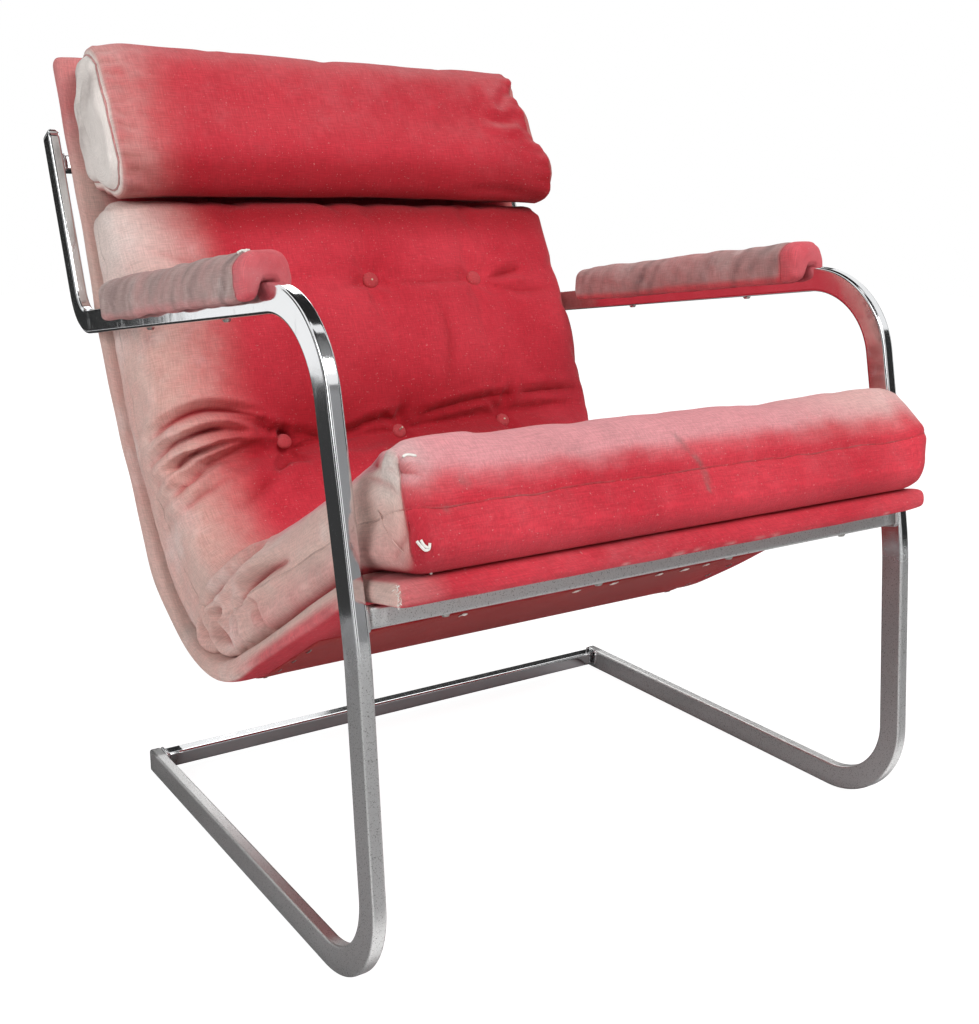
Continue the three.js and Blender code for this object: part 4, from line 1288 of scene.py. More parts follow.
# Folds of the lounge cushion, as pixels of the photograph: (path, width, depth, ridge)
CUSHION_FOLDS = [
    ([(150, 440), (172, 422), (204, 410), (236, 412), (262, 420)], 0.0060, 0.0085, 0.8),
    ([(150, 466), (170, 447), (198, 433), (234, 426), (270, 428)], 0.0055, 0.0085, 0.8),
    ([(158, 486), (180, 464), (208, 446), (240, 434)], 0.0050, 0.0075, 0.7),
    ([(164, 508), (186, 484), (212, 462), (246, 446)], 0.0060, 0.0055, 0.6),
    ([(170, 526), (196, 500), (228, 478)], 0.0065, 0.0040, 0.5),
    ([(262, 428), (284, 433), (300, 433)], 0.0060, 0.0070, 0.5),
    ([(306, 434), (326, 438), (352, 430), (376, 420), (402, 416)], 0.0060, 0.0050, 0.4),
    ([(418, 415), (450, 406), (484, 398), (508, 394)], 0.0055, 0.0050, 0.4),
    ([(520, 393), (548, 390), (577, 388)], 0.0060, 0.0050, 0.4),
    ([(302, 440), (288, 462), (266, 486), (244, 508)], 0.0090, 0.0045, 0.4),
    ([(264, 550), (242, 566), (222, 588), (208, 606)], 0.0055, 0.0090, 0.8),
    ([(288, 560), (264, 574), (247, 592), (240, 610)], 0.0058, 0.0080, 0.8),
    ([(206, 612), (208, 630), (216, 646)], 0.0050, 0.0080, 0.8),
    ([(222, 602), (222, 624), (232, 646)], 0.0055, 0.0090, 0.8),
    ([(240, 606), (242, 626), (252, 644)], 0.0055, 0.0080, 0.8),
    ([(256, 600), (262, 618), (272, 630)], 0.0052, 0.0060, 0.6),
    ([(330, 290), (358, 284), (378, 283)], 0.0075, 0.0025, 0.3),
    ([(388, 283), (430, 281), (476, 278)], 0.0075, 0.0030, 0.3),
    ([(490, 277), (520, 268), (556, 262)], 0.0065, 0.0055, 0.5),
    ([(488, 283), (520, 290), (556, 288)], 0.0080, 0.0030, 0.4),
    ([(392, 462), (402, 472), (420, 476)], 0.0050, 0.0028, 0.4),
    ([(368, 478), (386, 484), (398, 496)], 0.0060, 0.0040, 0.5),
    ([(372, 466), (388, 468), (400, 478)], 0.0050, 0.0040, 0.5),
    ([(395, 560), (404, 540), (408, 520)], 0.0050, 0.0030, 0.4),
    ([(300, 300), (318, 330), (322, 372)], 0.0110, 0.0035, 0.3),
    ([(440, 300), (452, 340), (450, 386)], 0.0130, 0.0030, 0.3),
    ([(150, 250), (196, 262), (240, 264)], 0.0100, 0.0025, 0.3),
]
# Marks on the cushion, as pixels of the photograph; a spot also has a radius and a strength
CUSHION_DART = [(378, 510), (387, 532), (404, 553), (432, 571)]
STAIN_SPOTS = [
    ((446, 508), 0.0038, 0.75), ((461, 481), 0.0045, 0.6), ((468, 484), 0.0040, 0.6),
    ((551, 442), 0.0120, 0.3), ((575, 452), 0.0150, 0.3), ((612, 432), 0.0130, 0.25),
]
STAIN_PATH = [(640, 409), (662, 424), (683, 444), (698, 460), (705, 472), (709, 490)]
STAIN_WIDTH = 0.0026


def cushion_seams(places, index, rises):
    """Lattice points of the seam round the cushion's middle, and of those at its four corners."""
    last = places.max(axis=0)
    centre_level = int(np.argmin(np.abs(rises - CUSHION_THICKNESS / 2)))
    equator = [index[(i, j, centre_level)] for i, j in border(last[0], last[1])]
    corners = [[index[(i, j, k)] for k in range(last[2] + 1)] for i in (0, last[0]) for j in (0, last[1])]
    return equator, corners


TUFT_HOLD = (0.030, 0.012)
CREASE_HOLD_WIDTH = 0.010
CREASE_HOLD = 0.8


def make_cushion():
    low = np.array([-CUSHION_HALF, -CUSHION_NOSE, 0])
    high = np.array([CUSHION_HALF, cushion_length + CUSHION_TAIL, CUSHION_THICKNESS])
    middle = CUSHION_THICKNESS / 2
    supports = [middle - MIDDLE_SUPPORT, middle + MIDDLE_SUPPORT]
    rises = levels(0, CUSHION_THICKNESS, CUSHION_THICKNESS / CUSHION_LEVELS, supports)
    lattice, faces, places, index = box_lattice(
        levels(low[0], high[0], CUSHION_SPACING), levels(low[1], high[1], CUSHION_SPACING), rises)
    local = rounded(lattice, low, high, CUSHION_ROUNDING)
    cushion = new_object("lounge_cushion_cover", cushion_points(local), faces, RED_CANVAS)
    set_attribute(cushion, "local", local)
    set_attribute(cushion, "cloth", cloth_coordinates(local, low, high))

    is_upper = local[:, 2] > middle
    held = smoothstep(0.30, 0.06, local[:, 2] / CUSHION_THICKNESS)
    for across, along, _ in button_places():
        away = np.hypot(local[:, 0] - across, local[:, 1] - along)
        held = np.maximum(held, smoothstep(*TUFT_HOLD, away) * is_upper)
    held = np.maximum(held, CREASE_HOLD * bell(from_crease(local), CREASE_HOLD_WIDTH) * is_upper)
    return cushion, held, cushion_seams(places, index, rises)


CREASE_VALLEY = 0.0150
CREASE_VALLEY_WIDTH = 0.012
ROW_VALLEY = 0.0035
ROW_VALLEY_WIDTH = 0.011
TUFT_SPREAD = 0.021
TUFT_POINTS = 5
TUFT_STAR = 0.30


def tuft_dips(local):
    """Depth of the dips at the buttons and of the valleys along both rows."""
    dips = np.zeros(len(local))
    for number, (across, along, _) in enumerate(button_places()):
        away = np.hypot(local[:, 0] - across, local[:, 1] - along)
        angle = np.arctan2(local[:, 1] - along, local[:, 0] - across)
        star = 1 + TUFT_STAR * np.sin(TUFT_POINTS * angle + number) * smoothstep(0.006, 0.02, away)
        sink = LOWER_SINK if number < 3 else UPPER_SINK
        dips = np.maximum(dips, sink * bell(away, TUFT_SPREAD * star))
    valley = ROW_VALLEY * bell(local[:, 1] - row_along, ROW_VALLEY_WIDTH)
    valley += CREASE_VALLEY * np.exp(-np.abs(from_crease(local)) / CREASE_VALLEY_WIDTH)
    return np.maximum(dips, valley * smoothstep(CUSHION_HALF, 0.2, np.abs(local[:, 0])))


REFINE_REACHES = (0.016, 0.007)
# Width, depth and ridge of the fold along a seam
SEAM_FOLD = (0.0035, 0.0020, 0.25)
SEAM_RISE = 0.0001
SEAM_RADIUS = 0.0009
DART_RADIUS = 0.0007


def dress_cushion(cushion, equator, corners):
    """Seams, tufts, folds, wear and painted fold shade, after the cloth has been inflated."""
    subdivide(cushion)
    surface = surface_of(cushion)
    paths = [seen_at(surface, pixels) for pixels, _, _, _ in CUSHION_FOLDS]
    paths = [smooth_path(path) for path in paths if len(path) > 1]
    for reach in REFINE_REACHES:
        refine(cushion, paths, reach)

    local = get_vectors(cushion, "local")
    share = local[:, 2] / CUSHION_THICKNESS
    outward = normals(cushion)
    points = coordinates(cushion) - outward * (tuft_dips(local) * smoothstep(0.5, 0.8, share))[:, None]
    set_coordinates(cushion, points)
    surface = surface_of(cushion)
    points, shade = press_folds(points, outward, surface, CUSHION_FOLDS)
    for path in [points[equator + equator[:1]]] + [points[corner] for corner in corners]:
        points, _ = fold(points, outward, path, *SEAM_FOLD, tapered=False)
    points = points + outward * (relief(points, CUSHION_RELIEF) * smoothstep(0.1, 0.3, share))[:, None]
    set_coordinates(cushion, points)

    wear = cushion_wear_and_shade(points, local, normals(cushion))
    stain, _ = near_path(points, smooth_path(seen_at(surface_of(cushion), STAIN_PATH)))
    # Soil from the stain path and spots, and painted shade along the fold valleys as a little soil colour
    wear["soil"] = wear["soil"] + 0.9 * bell(stain, STAIN_WIDTH) + 0.08 * shade
    for pixel, radius, strength in STAIN_SPOTS:
        for centre in seen_at(surface, [pixel]):
            wear["soil"] = wear["soil"] + strength * bell(np.linalg.norm(points - centre, axis=1), radius)
    # Painted shade along the fold valleys: deeper red, and less fade and pale there
    wear["deep"] = wear["deep"] + 0.8 * shade
    for kind in ("fade", "pale"):
        wear[kind] = wear[kind] * (1 - 0.9 * np.clip(shade, 0, 1))
    set_wear_and_shade(cushion, **wear)
    place_piece(cushion, "red_canvas", "lounge_cushion", "lounge_cushion_core")

    raised = coordinates(cushion) + normals(cushion) * SEAM_RISE
    seams = [("cushion_equator_seam", raised[equator], True)]
    for number, corner in enumerate(corners, start=1):
        seams.append((f"cushion_corner_seam_{number}", raised[corner[1:-1]], False))
    for name, path, closed in seams:
        dress_strand(thread(name, path, SEAM_RADIUS, RED_CANVAS, closed=closed), cushion)
    surface = surface_of(cushion)
    dart = smooth_path(seen_at(surface, CUSHION_DART))
    dress_strand(thread("cushion_dart_seam", dart, DART_RADIUS, RED_CANVAS), cushion)
    return surface


STRAND_DEEPER = 0.35
STRAND_DIRTIER = 0.45
STRAND_WEAVE = 0.7


def dress_strand(strand, carrier, faded=1.0):
    """Gives a seam strand the wear and painted shade of the cloth beside it, a little darker."""
    surface = surface_of(carrier)
    polygons = carrier.data.polygons
    faces = [surface.find_nearest(Vector(point))[2] for point in coordinates(strand)]
    nearest = [polygons[face].vertices[0] for face in faces]
    wear = {kind: get_numbers(carrier, kind)[nearest] for kind in WEAR_AND_SHADE_KINDS}
    wear["fade"] = wear["fade"] * faded
    wear["pale"] = wear["pale"] * faded
    wear["deep"] = wear["deep"] + STRAND_DEEPER
    wear["soil"] = wear["soil"] + STRAND_DIRTIER
    set_wear_and_shade(strand, **wear)
    set_attribute(strand, "cloth", coordinates(strand) * STRAND_WEAVE)
    place_piece(strand, "red_canvas")


# Zones of the cushion in metres, each as (where it starts, where it is full) or as a place and a width
LEFT_WALL_TURN = (0.0010, -0.0025)
LEFT_WALL = (0.014, 0.004)
FRONT_ZONE = (0.03, -0.012)
TAN_BAND = (-0.175, -0.295)
PALE_CORNER = -0.285
PALE_CORNER_WIDTH = 0.022
CREASE_SHADE_WIDTH = 0.055
CREASE_SHADE_SIDES = (0.26, 0.12)
UNDER_ROLL_SHADE = (0.07, 0.015)
RIGHT_TOP = (0.08, 0.27)
RIGHT_WALL = (0.26, 0.28)


def cushion_wear_and_shade(points, local, outward):
    noise = wave_noise(points, *CUSHION_BROAD_NOISE)
    fine = wave_noise(points, *CUSHION_FINE_NOISE)
    across = local[:, 0] + 0.012 * noise + 0.006 * fine
    along = local[:, 1]
    share = local[:, 2] / CUSHION_THICKNESS
    from_left = local[:, 0] + CUSHION_HALF
    from_front = local[:, 1] + CUSHION_NOSE
    left_wall = smoothstep(*LEFT_WALL_TURN, from_left - from_front) * smoothstep(*LEFT_WALL, from_left)
    is_back = smoothstep(crease_along - 0.02, crease_along + 0.06, along)
    is_hollow = smoothstep(hollow_along * 0.4, hollow_along, along) * (1 - is_back)
    front = smoothstep(*FRONT_ZONE, along)
    tan_band = smoothstep(*TAN_BAND, across)
    low_wall = smoothstep(0.55, 0.1, share)
    tucked = smoothstep(hollow_along, hollow_along + 0.06, along) * low_wall
    beige = left_wall * (0.85 - 0.50 * tucked - 0.30 * low_wall * (1 - is_back))
    beige = np.maximum(beige, tan_band * (0.80 * is_back + 0.80 * is_hollow) * (1 - front))
    corner = bell(across - PALE_CORNER, PALE_CORNER_WIDTH)
    corner = corner * smoothstep(0.05, -0.01, along) * smoothstep(0.45, 0.9, share)
    right_wall = smoothstep(0.5, 0.9, outward[:, 0]) * smoothstep(*RIGHT_WALL, local[:, 0]) * 0.25
    # Painted shade in the crease across the seat and under the head roll, as deeper red
    crease_and_roll_shade = bell(along - crease_along, CREASE_SHADE_WIDTH)
    crease_and_roll_shade = crease_and_roll_shade * smoothstep(*CREASE_SHADE_SIDES, np.abs(across))
    crease_and_roll_shade = np.maximum(crease_and_roll_shade, smoothstep(*UNDER_ROLL_SHADE, cushion_length - along))
    streaks = wave_noise(points @ np.diag([1, 0.35, 1.5]), *CUSHION_STREAKS)
    streaks = 0.30 * smoothstep(0.4, 1.2, streaks)
    grubby = smoothstep(0.06, 0.0, along) * smoothstep(0.35, 0.65, share) * smoothstep(-0.2, 0.8, fine)
    seat_top = smoothstep(-0.05, 0.9, outward[:, 2]) * smoothstep(hollow_along, hollow_along * 0.45, along)
    seat_top = seat_top * smoothstep(0.5, 0.85, share)
    right_top = seat_top * smoothstep(*RIGHT_TOP, across)
    pale_top = tan_band ** 2 * smoothstep(row_along - 0.05, cushion_length - 0.04, along)
    pale_edge = corner * (0.25 + 0.60 * left_wall) + 0.14 * left_wall + 0.10 * right_top
    wall_soil = left_wall * (streaks + 0.16 * (0.5 + noise) + 0.25 * grubby)
    wear = {
        "fade": beige + 0.65 * corner * left_wall + right_wall + 0.45 * right_top,
        "pale": 0.45 * pale_top + pale_edge,
        "sun": seat_top * (0.92 + 0.2 * noise) + 0.10 * front + 0.25 * tan_band * (1 - front),
        "deep": crease_and_roll_shade * 0.80 + 0.18 * is_back * (1 - tan_band) - 0.06 * fine,
        "soil": 0.22 * (fine - 0.2) * seat_top + 0.30 * corner * fine + wall_soil,
    }
    return {kind: np.clip(values, 0, 1) for kind, values in wear.items()}


# Head roll
ROLL_HALF = 0.286
ROLL_DEPTH = 0.102
ROLL_HEIGHT = 0.152
ROLL_PROFILE = [
    (0.0, 0.03), (0.18, -0.03), (0.35, -0.10), (0.55, -0.19), (0.75, -0.245), (0.92, -0.21), (1.02, -0.06),
    (1.04, 0.16), (1.0, 0.40), (0.98, 0.6), (0.92, 0.78), (0.77, 0.90), (0.55, 0.97), (0.3, 1.0),
    (0.1, 1.0), (0.0, 0.95), (0.0, 0.5),
]
ROLL_LEFT_RISE = 0.001
ROLL_CORNER_FALL = 0.008
ROLL_RIGHT_HEIGHTS = [0.0, 0.12, 0.25, 0.57, 0.85, 1.0]
ROLL_RIGHT_SHIFTS = [0.010, 0.008, -0.002, -0.012, -0.014, -0.016]
ROLL_NOTCH = 0.016
ROLL_NOTCH_HEIGHT = 0.67
ROLL_NOTCH_WIDTH = 0.07
ROLL_SPACING = 0.0085
ROLL_GRID = 13
ROLL_END_RADIUS = 0.015
ROLL_NOMINAL = 0.065
ROLL_GIRTH = 0.42
roll_foot = shell_top - up_upright * ROLL_FOOT_DROP + forward * (SHELL_THICKNESS + 2 * GAP)


def closed_profile(shares, width, height):
    """Function that gives a closed curve's point at a share of its length."""
    points = np.array(shares + shares[:1], float) * [width, height]
    curve = smooth_path(points, 10)
    steps = np.linalg.norm(np.diff(curve, axis=0), axis=1)
    distances = np.concatenate([[0], np.cumsum(steps)])
    distances /= distances[-1]
    return lambda share: np.stack([np.interp(share % 1, distances, curve[:, k]) for k in (0, 1)], -1)


EDGE = 0.99999


def prism(half, spacing, count, profile, end_radius, nominal):
    """Closed body with a profile: lattice points as (along, two profile coordinates), and their form."""
    grid = np.linspace(-1, 1, count + 1)
    lattice, faces, places, index = box_lattice(levels(-half, half, spacing), grid, grid)
    size = np.maximum(np.abs(lattice[:, 1]), np.abs(lattice[:, 2]))
    a = lattice[:, 1] / np.maximum(size, 1e-6)
    b = lattice[:, 2] / np.maximum(size, 1e-6)
    first_three = [(a + 1) / 8, (b + 3) / 8, (5 - a) / 8]
    share = np.select([b <= -EDGE, a >= EDGE, b >= EDGE], first_three, (7 - b) / 8)
    flat = np.stack([lattice[:, 0], size * nominal, np.zeros(len(size))], -1)
    low = [-half, -nominal, -1]
    high = [half, nominal, 1]
    bent = rounded(flat, low, high, [end_radius, end_radius, 0.5])
    outline = profile(share)
    centre = profile(np.linspace(0, 1, 60, endpoint=False)).mean(axis=0)
    section = centre + (outline - centre) * (bent[:, 1] / nominal)[:, None]
    return bent[:, 0], section, share, size, [face[::-1] for face in faces], places, index


# Folds of the head roll, as pixels of the photograph: (path, width, depth, ridge)
ROLL_FOLDS = [
    ([(86, 60), (82, 90), (84, 120), (90, 150)], 0.0050, 0.0035, 0.6),
    ([(76, 84), (76, 110), (80, 140)], 0.0045, 0.0030, 0.6),
    ([(108, 64), (126, 92), (132, 124)], 0.0060, 0.0022, 0.5),
    ([(112, 100), (128, 118), (138, 150)], 0.0060, 0.0020, 0.5),
    ([(118, 150), (134, 170), (160, 186)], 0.0060, 0.0025, 0.5),
    ([(517, 119), (504, 122), (488, 120)], 0.0060, 0.0050, 0.5),
    ([(508, 90), (500, 104), (505, 118)], 0.0060, 0.0030, 0.5),
    ([(536, 196), (500, 190), (460, 190)], 0.0060, 0.0025, 0.4),
    ([(470, 84), (480, 104), (478, 130)], 0.0080, 0.0018, 0.4),
]


def make_roll():
    profile = closed_profile(ROLL_PROFILE, ROLL_DEPTH, ROLL_HEIGHT)
    across, section, share, size, faces, places, index = prism(
        ROLL_HALF, ROLL_SPACING, ROLL_GRID, profile, ROLL_END_RADIUS, ROLL_NOMINAL)
    high = section[:, 1] / ROLL_HEIGHT
    lift = ROLL_LEFT_RISE * smoothstep(0.02, -0.27, across) * smoothstep(0.3, 1, high)
    lift = lift - ROLL_CORNER_FALL * smoothstep(-0.235, -ROLL_HALF, across) * smoothstep(0.4, 1, high)
    flare = np.interp(high, ROLL_RIGHT_HEIGHTS, ROLL_RIGHT_SHIFTS)
    notch = ROLL_NOTCH * bell(high - ROLL_NOTCH_HEIGHT, ROLL_NOTCH_WIDTH)
    notch = notch * smoothstep(0.23, ROLL_HALF, across)
    shift = flare * smoothstep(0.1, ROLL_HALF, across) - notch - 0.004 * smoothstep(-0.1, -ROLL_HALF, across)
    plane = roll_foot + section[:, :1] * forward + (section[:, 1:] + lift[:, None]) * up_upright
    roll = new_object("head_roll_cover", in_chair(across + shift, plane), faces, RED_CANVAS)
    over_end = np.sign(across) * (1 - size) * 0.06
    set_attribute(roll, "cloth", np.stack([across + over_end, share * ROLL_GIRTH, size], -1))
    set_attribute(roll, "local", np.stack([across, section[:, 0], section[:, 1]], -1))
    held = smoothstep(0.010, 0.002, section[:, 0])
    last = places.max(axis=0)
    ends = [[index[(i, j, k)] for j, k in border(last[1], last[2])] for i in (0, last[0])]
    return roll, held, ends


ROLL_SEAM_FOLD = (0.0045, 0.0030, 0.5)
ROLL_SEAM_RISE = 0.0006
ROLL_SEAM_RADIUS = 0.0013
ROLL_SEAM_FADED = 0.25
GATHER_PITCH = 0.017
GATHER_DEPTH = 0.0021
GATHER_REACH = 0.024
ROLL_LEFT_BAND = (-0.195, -0.285)
ROLL_END = (0.010, 0.004)


def dress_roll(roll, ends):
    subdivide(roll)
    points = coordinates(roll)
    outward = normals(roll)
    points, _ = press_folds(points, outward, surface_of(roll), ROLL_FOLDS)
    for end in ends:
        points, _ = fold(points, outward, points[end + end[:1]], *ROLL_SEAM_FOLD, tapered=False)
    local = get_vectors(roll, "local")
    across = local[:, 0]
    rise = local[:, 2]
    from_end = ROLL_HALF - np.abs(across)
    gather = rise * 2 * math.pi / GATHER_PITCH + 2.5 * wave_noise(points, *GATHER_NOISE)
    gather = GATHER_DEPTH * np.sin(gather) * bell(from_end, GATHER_REACH)
    gather = gather * (1 - np.abs(outward[:, 0])) * smoothstep(0, 0.012, from_end)
    ruched = smoothstep(0.012, 0.002, from_end) * relief(points, ROLL_END_RELIEF)
    points = points + outward * (gather + ruched + relief(points, ROLL_RELIEF))[:, None]
    set_coordinates(roll, points)

    noise = wave_noise(points, *ROLL_NOISE)
    left = smoothstep(*ROLL_END, across + ROLL_HALF)
    left_band = smoothstep(*ROLL_LEFT_BAND, across + 0.014 * noise)
    right = smoothstep(*ROLL_END, ROLL_HALF - across) * 0.3
    streaks = smoothstep(0.2, 1.1, wave_noise(points @ np.diag([1, 1, 0.5]), *ROLL_STREAKS))
    # Painted shade: deeper red on the roll's underside and in the gather valleys
    under = smoothstep(0.02, -0.02, rise)
    upward = smoothstep(0.3, 0.95, normals(roll)[:, 2])
    valleys = smoothstep(0.0002, -0.0016, gather) * (1 - left)
    set_wear_and_shade(
        roll,
        fade=left * 0.9 + 0.35 * left_band + right + 0.05 * upward,
        pale=0.92 * left + 0.04 * upward,
        sun=0.35 * left_band + 0.14 * upward + 0.13 + 0.08 * noise,
        deep=0.5 * under + 0.27 + 0.5 * valleys,
        soil=left * (0.04 + 0.15 * noise + 0.40 * streaks) + 0.08 * noise,
    )
    place_piece(roll, "red_canvas", "head_roll", "head_roll_core")
    raised = coordinates(roll) + normals(roll) * ROLL_SEAM_RISE
    for label, end in zip(("left", "right"), ends):
        welt = thread(f"head_roll_seam_{label}", raised[end], ROLL_SEAM_RADIUS, RED_CANVAS, closed=True)
        dress_strand(welt, roll, ROLL_SEAM_FADED)


# Arm rests
PAD_LENGTH = 0.392
PAD_HALF_WIDTH = 0.0225
PAD_HEIGHT = 0.042
PAD_SKIRT = -0.002
PAD_SPACING = 0.0065
PAD_GRID = 12
PAD_END_RADIUS = 0.013
PAD_NOMINAL = 0.024
PAD_GIRTH = 0.16
PAD_PROFILE = [
    (-0.80, 0.0), (0.0, 0.0), (0.80, 0.0), (0.97, 0.06), (1.0, 0.25), (1.0, 0.5), (0.93, 0.74), (0.76, 0.89),
    (0.42, 0.985), (0.0, 1.0), (-0.42, 0.985), (-0.76, 0.89), (-0.93, 0.74), (-1.0, 0.5), (-1.0, 0.25),
    (-0.97, 0.06),
]
arm_turn = math.radians(90 - UPPER_LEAN + ARM_FALL)
pad_start = arm_corner + down_arm * FRAME_RADII[2] * math.tan(arm_turn / 2)
up_from_arm = left_of(down_arm)
CHANNEL_ROOM = 0.0006
CHANNEL_HALF = TUBE_WIDTH / 2 + CHANNEL_ROOM
CHANNEL_TOP = TUBE_DEPTH / 2 + CHANNEL_ROOM
CHANNEL_ROUNDING = 0.0035
END_CAP_LENGTH = 0.026


def make_pad(side, across):
    profile = closed_profile(PAD_PROFILE, PAD_HALF_WIDTH, PAD_HEIGHT)
    half = PAD_LENGTH / 2
    along, section, share, size, faces, _, _ = prism(
        half, PAD_SPACING, PAD_GRID, profile, PAD_END_RADIUS, PAD_NOMINAL)
    rise = PAD_SKIRT + section[:, 1]
    inside = smoothstep(CHANNEL_HALF + CHANNEL_ROUNDING, CHANNEL_HALF, np.abs(section[:, 0]))
    top = PAD_SKIRT + PAD_HEIGHT
    lifted = CHANNEL_TOP + (rise - PAD_SKIRT) / PAD_HEIGHT * (top - CHANNEL_TOP)
    rise = rise + inside * np.maximum(lifted - rise, 0)
    plane = pad_start + (along + half)[:, None] * down_arm + rise[:, None] * up_from_arm
    pad = new_object(f"arm_rest_{side}", in_chair(across + section[:, 0], plane), faces, ARM_CANVAS)
    over_end = np.sign(along) * (1 - size) * 0.03
    set_attribute(pad, "cloth", np.stack([along + over_end, share * PAD_GIRTH, size], -1))
    set_attribute(pad, "local", np.stack([section[:, 0], along, rise], -1))
    held = np.maximum(inside, smoothstep(PAD_SKIRT + 0.008, PAD_SKIRT + 0.002, rise))
    return pad, held


CAP_SEAM_WIDTH = 0.0028
CAP_SEAM_DEPTH = 0.0018
CAP_SEAM_RADIUS = 0.0008
CAP_SEAM_HEIGHT = 0.6
CAP_SEAM_ANGLES = np.linspace(-0.26 * math.pi, 1.26 * math.pi, 60)
RAY_START = 0.06
CAP_RED = 0.88
# How much less each arm rest has faded on the whole, and on its skirt
PAD_REDS = {"left": (0.0, 0.25), "right": (0.10, 0.75)}


def dress_pad(pad, side, across):
    subdivide(pad)
    local = get_vectors(pad, "local")
    points = coordinates(pad)
    outward = normals(pad)
    from_front = local[:, 1] + PAD_LENGTH / 2
    rise = local[:, 2]
    seam = bell(from_front - END_CAP_LENGTH, CAP_SEAM_WIDTH) * (rise > PAD_SKIRT - 0.01)
    is_channel = np.abs(local[:, 0]) < CHANNEL_HALF + 0.002
    is_low = rise < TUBE_DEPTH / 2 + 0.004
    free = 1 - (is_channel & is_low)
    move = relief(points, PAD_RELIEF) - CAP_SEAM_DEPTH * seam
    move = move + relief(points @ np.diag([1, 0.45, 1]), PAD_FINE_RELIEF)
    points = points + outward * (move * free)[:, None]
    set_coordinates(pad, points)
    noise = wave_noise(points, *PAD_NOISE)
    cap = smoothstep(END_CAP_LENGTH + 0.004, END_CAP_LENGTH - 0.002, from_front + 0.003 * noise)
    skirt = smoothstep(PAD_SKIRT + 0.010, PAD_SKIRT + 0.002, rise + 0.002 * noise)
    whole_red, skirt_red = PAD_REDS[side]
    streaks = wave_noise(points + local[:, 1:2] * [0, 0, 2.5], *PAD_STREAKS)
    set_wear_and_shade(
        pad,
        fade=0.94 - whole_red - CAP_RED * cap - skirt_red * skirt + 0.08 * noise,
        pale=0.06 * (1 - cap),
        sun=0.35 * cap,
        # Painted shade: deeper red on the skirt under the pad; its lesser fading is wear
        deep=0.15 * skirt,
        soil=(1 - 0.9 * cap) * (0.26 + 0.22 * noise + 0.42 * streaks),
    )
    place_piece(pad, "arm_canvas", f"arm_pad_{side}")
    ring = []
    surface = surface_of(pad)
    centre = pad_start + down_arm * END_CAP_LENGTH + up_from_arm * (PAD_SKIRT + CAP_SEAM_HEIGHT * PAD_HEIGHT)
    for angle in CAP_SEAM_ANGLES:
        direction = in_chair(math.cos(angle), math.sin(angle) * up_from_arm)
        start = in_chair(across, centre) + direction * RAY_START
        hit, _, _, _ = surface.ray_cast(Vector(start), Vector(-direction))
        if hit is not None:
            ring.append(np.array(hit))
    dress_strand(thread(f"arm_rest_seam_{side}", ring, CAP_SEAM_RADIUS, ARM_CANVAS), pad)


# Worn spot on the left arm rest's seam, as pixels of the photograph
WORN_SPOT = [(240, 252), (243, 250), (246, 251)]


TUFT_FIBRES = 44
TUFT_HALF_SIZE = 0.0025
TUFT_LENGTHS = (0.001, 0.002)
TUFT_RADIUS = 0.0007
FIBRE_ROOT = 0.0004
FIBRE_TOP = 0.0008
FIBRE_TIP = 0.0002


def make_worn_spot(surface):
    """Tuft of filling that shows through the cloth."""
    strands = []
    draw = random.Random(17)
    places = seen_at(surface, WORN_SPOT)
    for number in range(TUFT_FIBRES):
        shift = np.array([draw.uniform(-TUFT_HALF_SIZE, TUFT_HALF_SIZE) for _ in range(3)])
        hit, normal, _, _ = surface.find_nearest(Vector(places[number % len(places)] + shift))
        point = np.array(hit)
        out = np.array(normal)
        bend = np.array([draw.uniform(-1, 1) for _ in range(3)])
        bend -= out * (bend @ out)
        size = draw.uniform(*TUFT_LENGTHS)
        fibre = [point - out * FIBRE_ROOT, point + out * FIBRE_TOP + bend * size / 2,
                 point + out * FIBRE_TIP + bend * size]
        strands.append(thread(f"filling_{number}", smooth_path(fibre, 4), TUFT_RADIUS, WHITE_THREAD, 5))
    place_piece(join("arm_rest_filling", strands), "twine")


# Buttons
BUTTON_RADIUS = 0.010
LOWER_BUTTON_SHARE = 0.88
BUTTON_SIDES = 40
BUTTON_RIPPLES = 9
BUTTON_RIPPLE = 0.012
BUTTON_CENTRE = 0.02
BUTTON_RISE = 0.0012
# Outline of a button, as (share of its radius, height)
BUTTON_PROFILE = [
    (0.0, -0.0030), (0.7, -0.0030), (0.93, -0.0018), (1.0, -0.0002), (0.985, 0.0012), (0.90, 0.0025),
    (0.72, 0.0036), (0.45, 0.0044), (0.2, 0.0047), (0.0, 0.0048),
]


def make_button(number, surface, direction):
    node_low, node_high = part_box(f"tuft_button_{number}")
    centre = (np.array(node_low) + np.array(node_high)) / 2
    axis = in_chair(0.0, direction)
    hit, _, _, _ = surface.ray_cast(Vector(centre + axis * RAY_START), Vector(-axis))
    seat = np.array(hit) if hit is not None else centre
    side = np.array([1.0, 0, 0])
    other = np.cross(axis, side)
    angles = np.arange(BUTTON_SIDES) * 2 * math.pi / BUTTON_SIDES
    ripple = 1 + BUTTON_RIPPLE * np.sin(BUTTON_RIPPLES * angles)
    size = BUTTON_RADIUS * (LOWER_BUTTON_SHARE if number < 4 else 1)
    rings = []
    for radius, height in BUTTON_PROFILE:
        reach = max(radius, BUTTON_CENTRE) * size * ripple
        ring = seat + axis * (height + BUTTON_RISE) + np.outer(np.cos(angles) * reach, side)
        rings.append(ring + np.outer(np.sin(angles) * reach, other))
    button = loft(f"covered_button_{number}", rings, RED_CANVAS)
    local = coordinates(button)
    set_attribute(button, "cloth", np.stack([local[:, 0], local @ other, local[:, 2] * 0], -1))
    set_wear_and_shade(button, fade=0.06, sun=0.1, deep=0.35, soil=0.15)
    place_piece(button, "red_canvas", f"tuft_button_{number}")


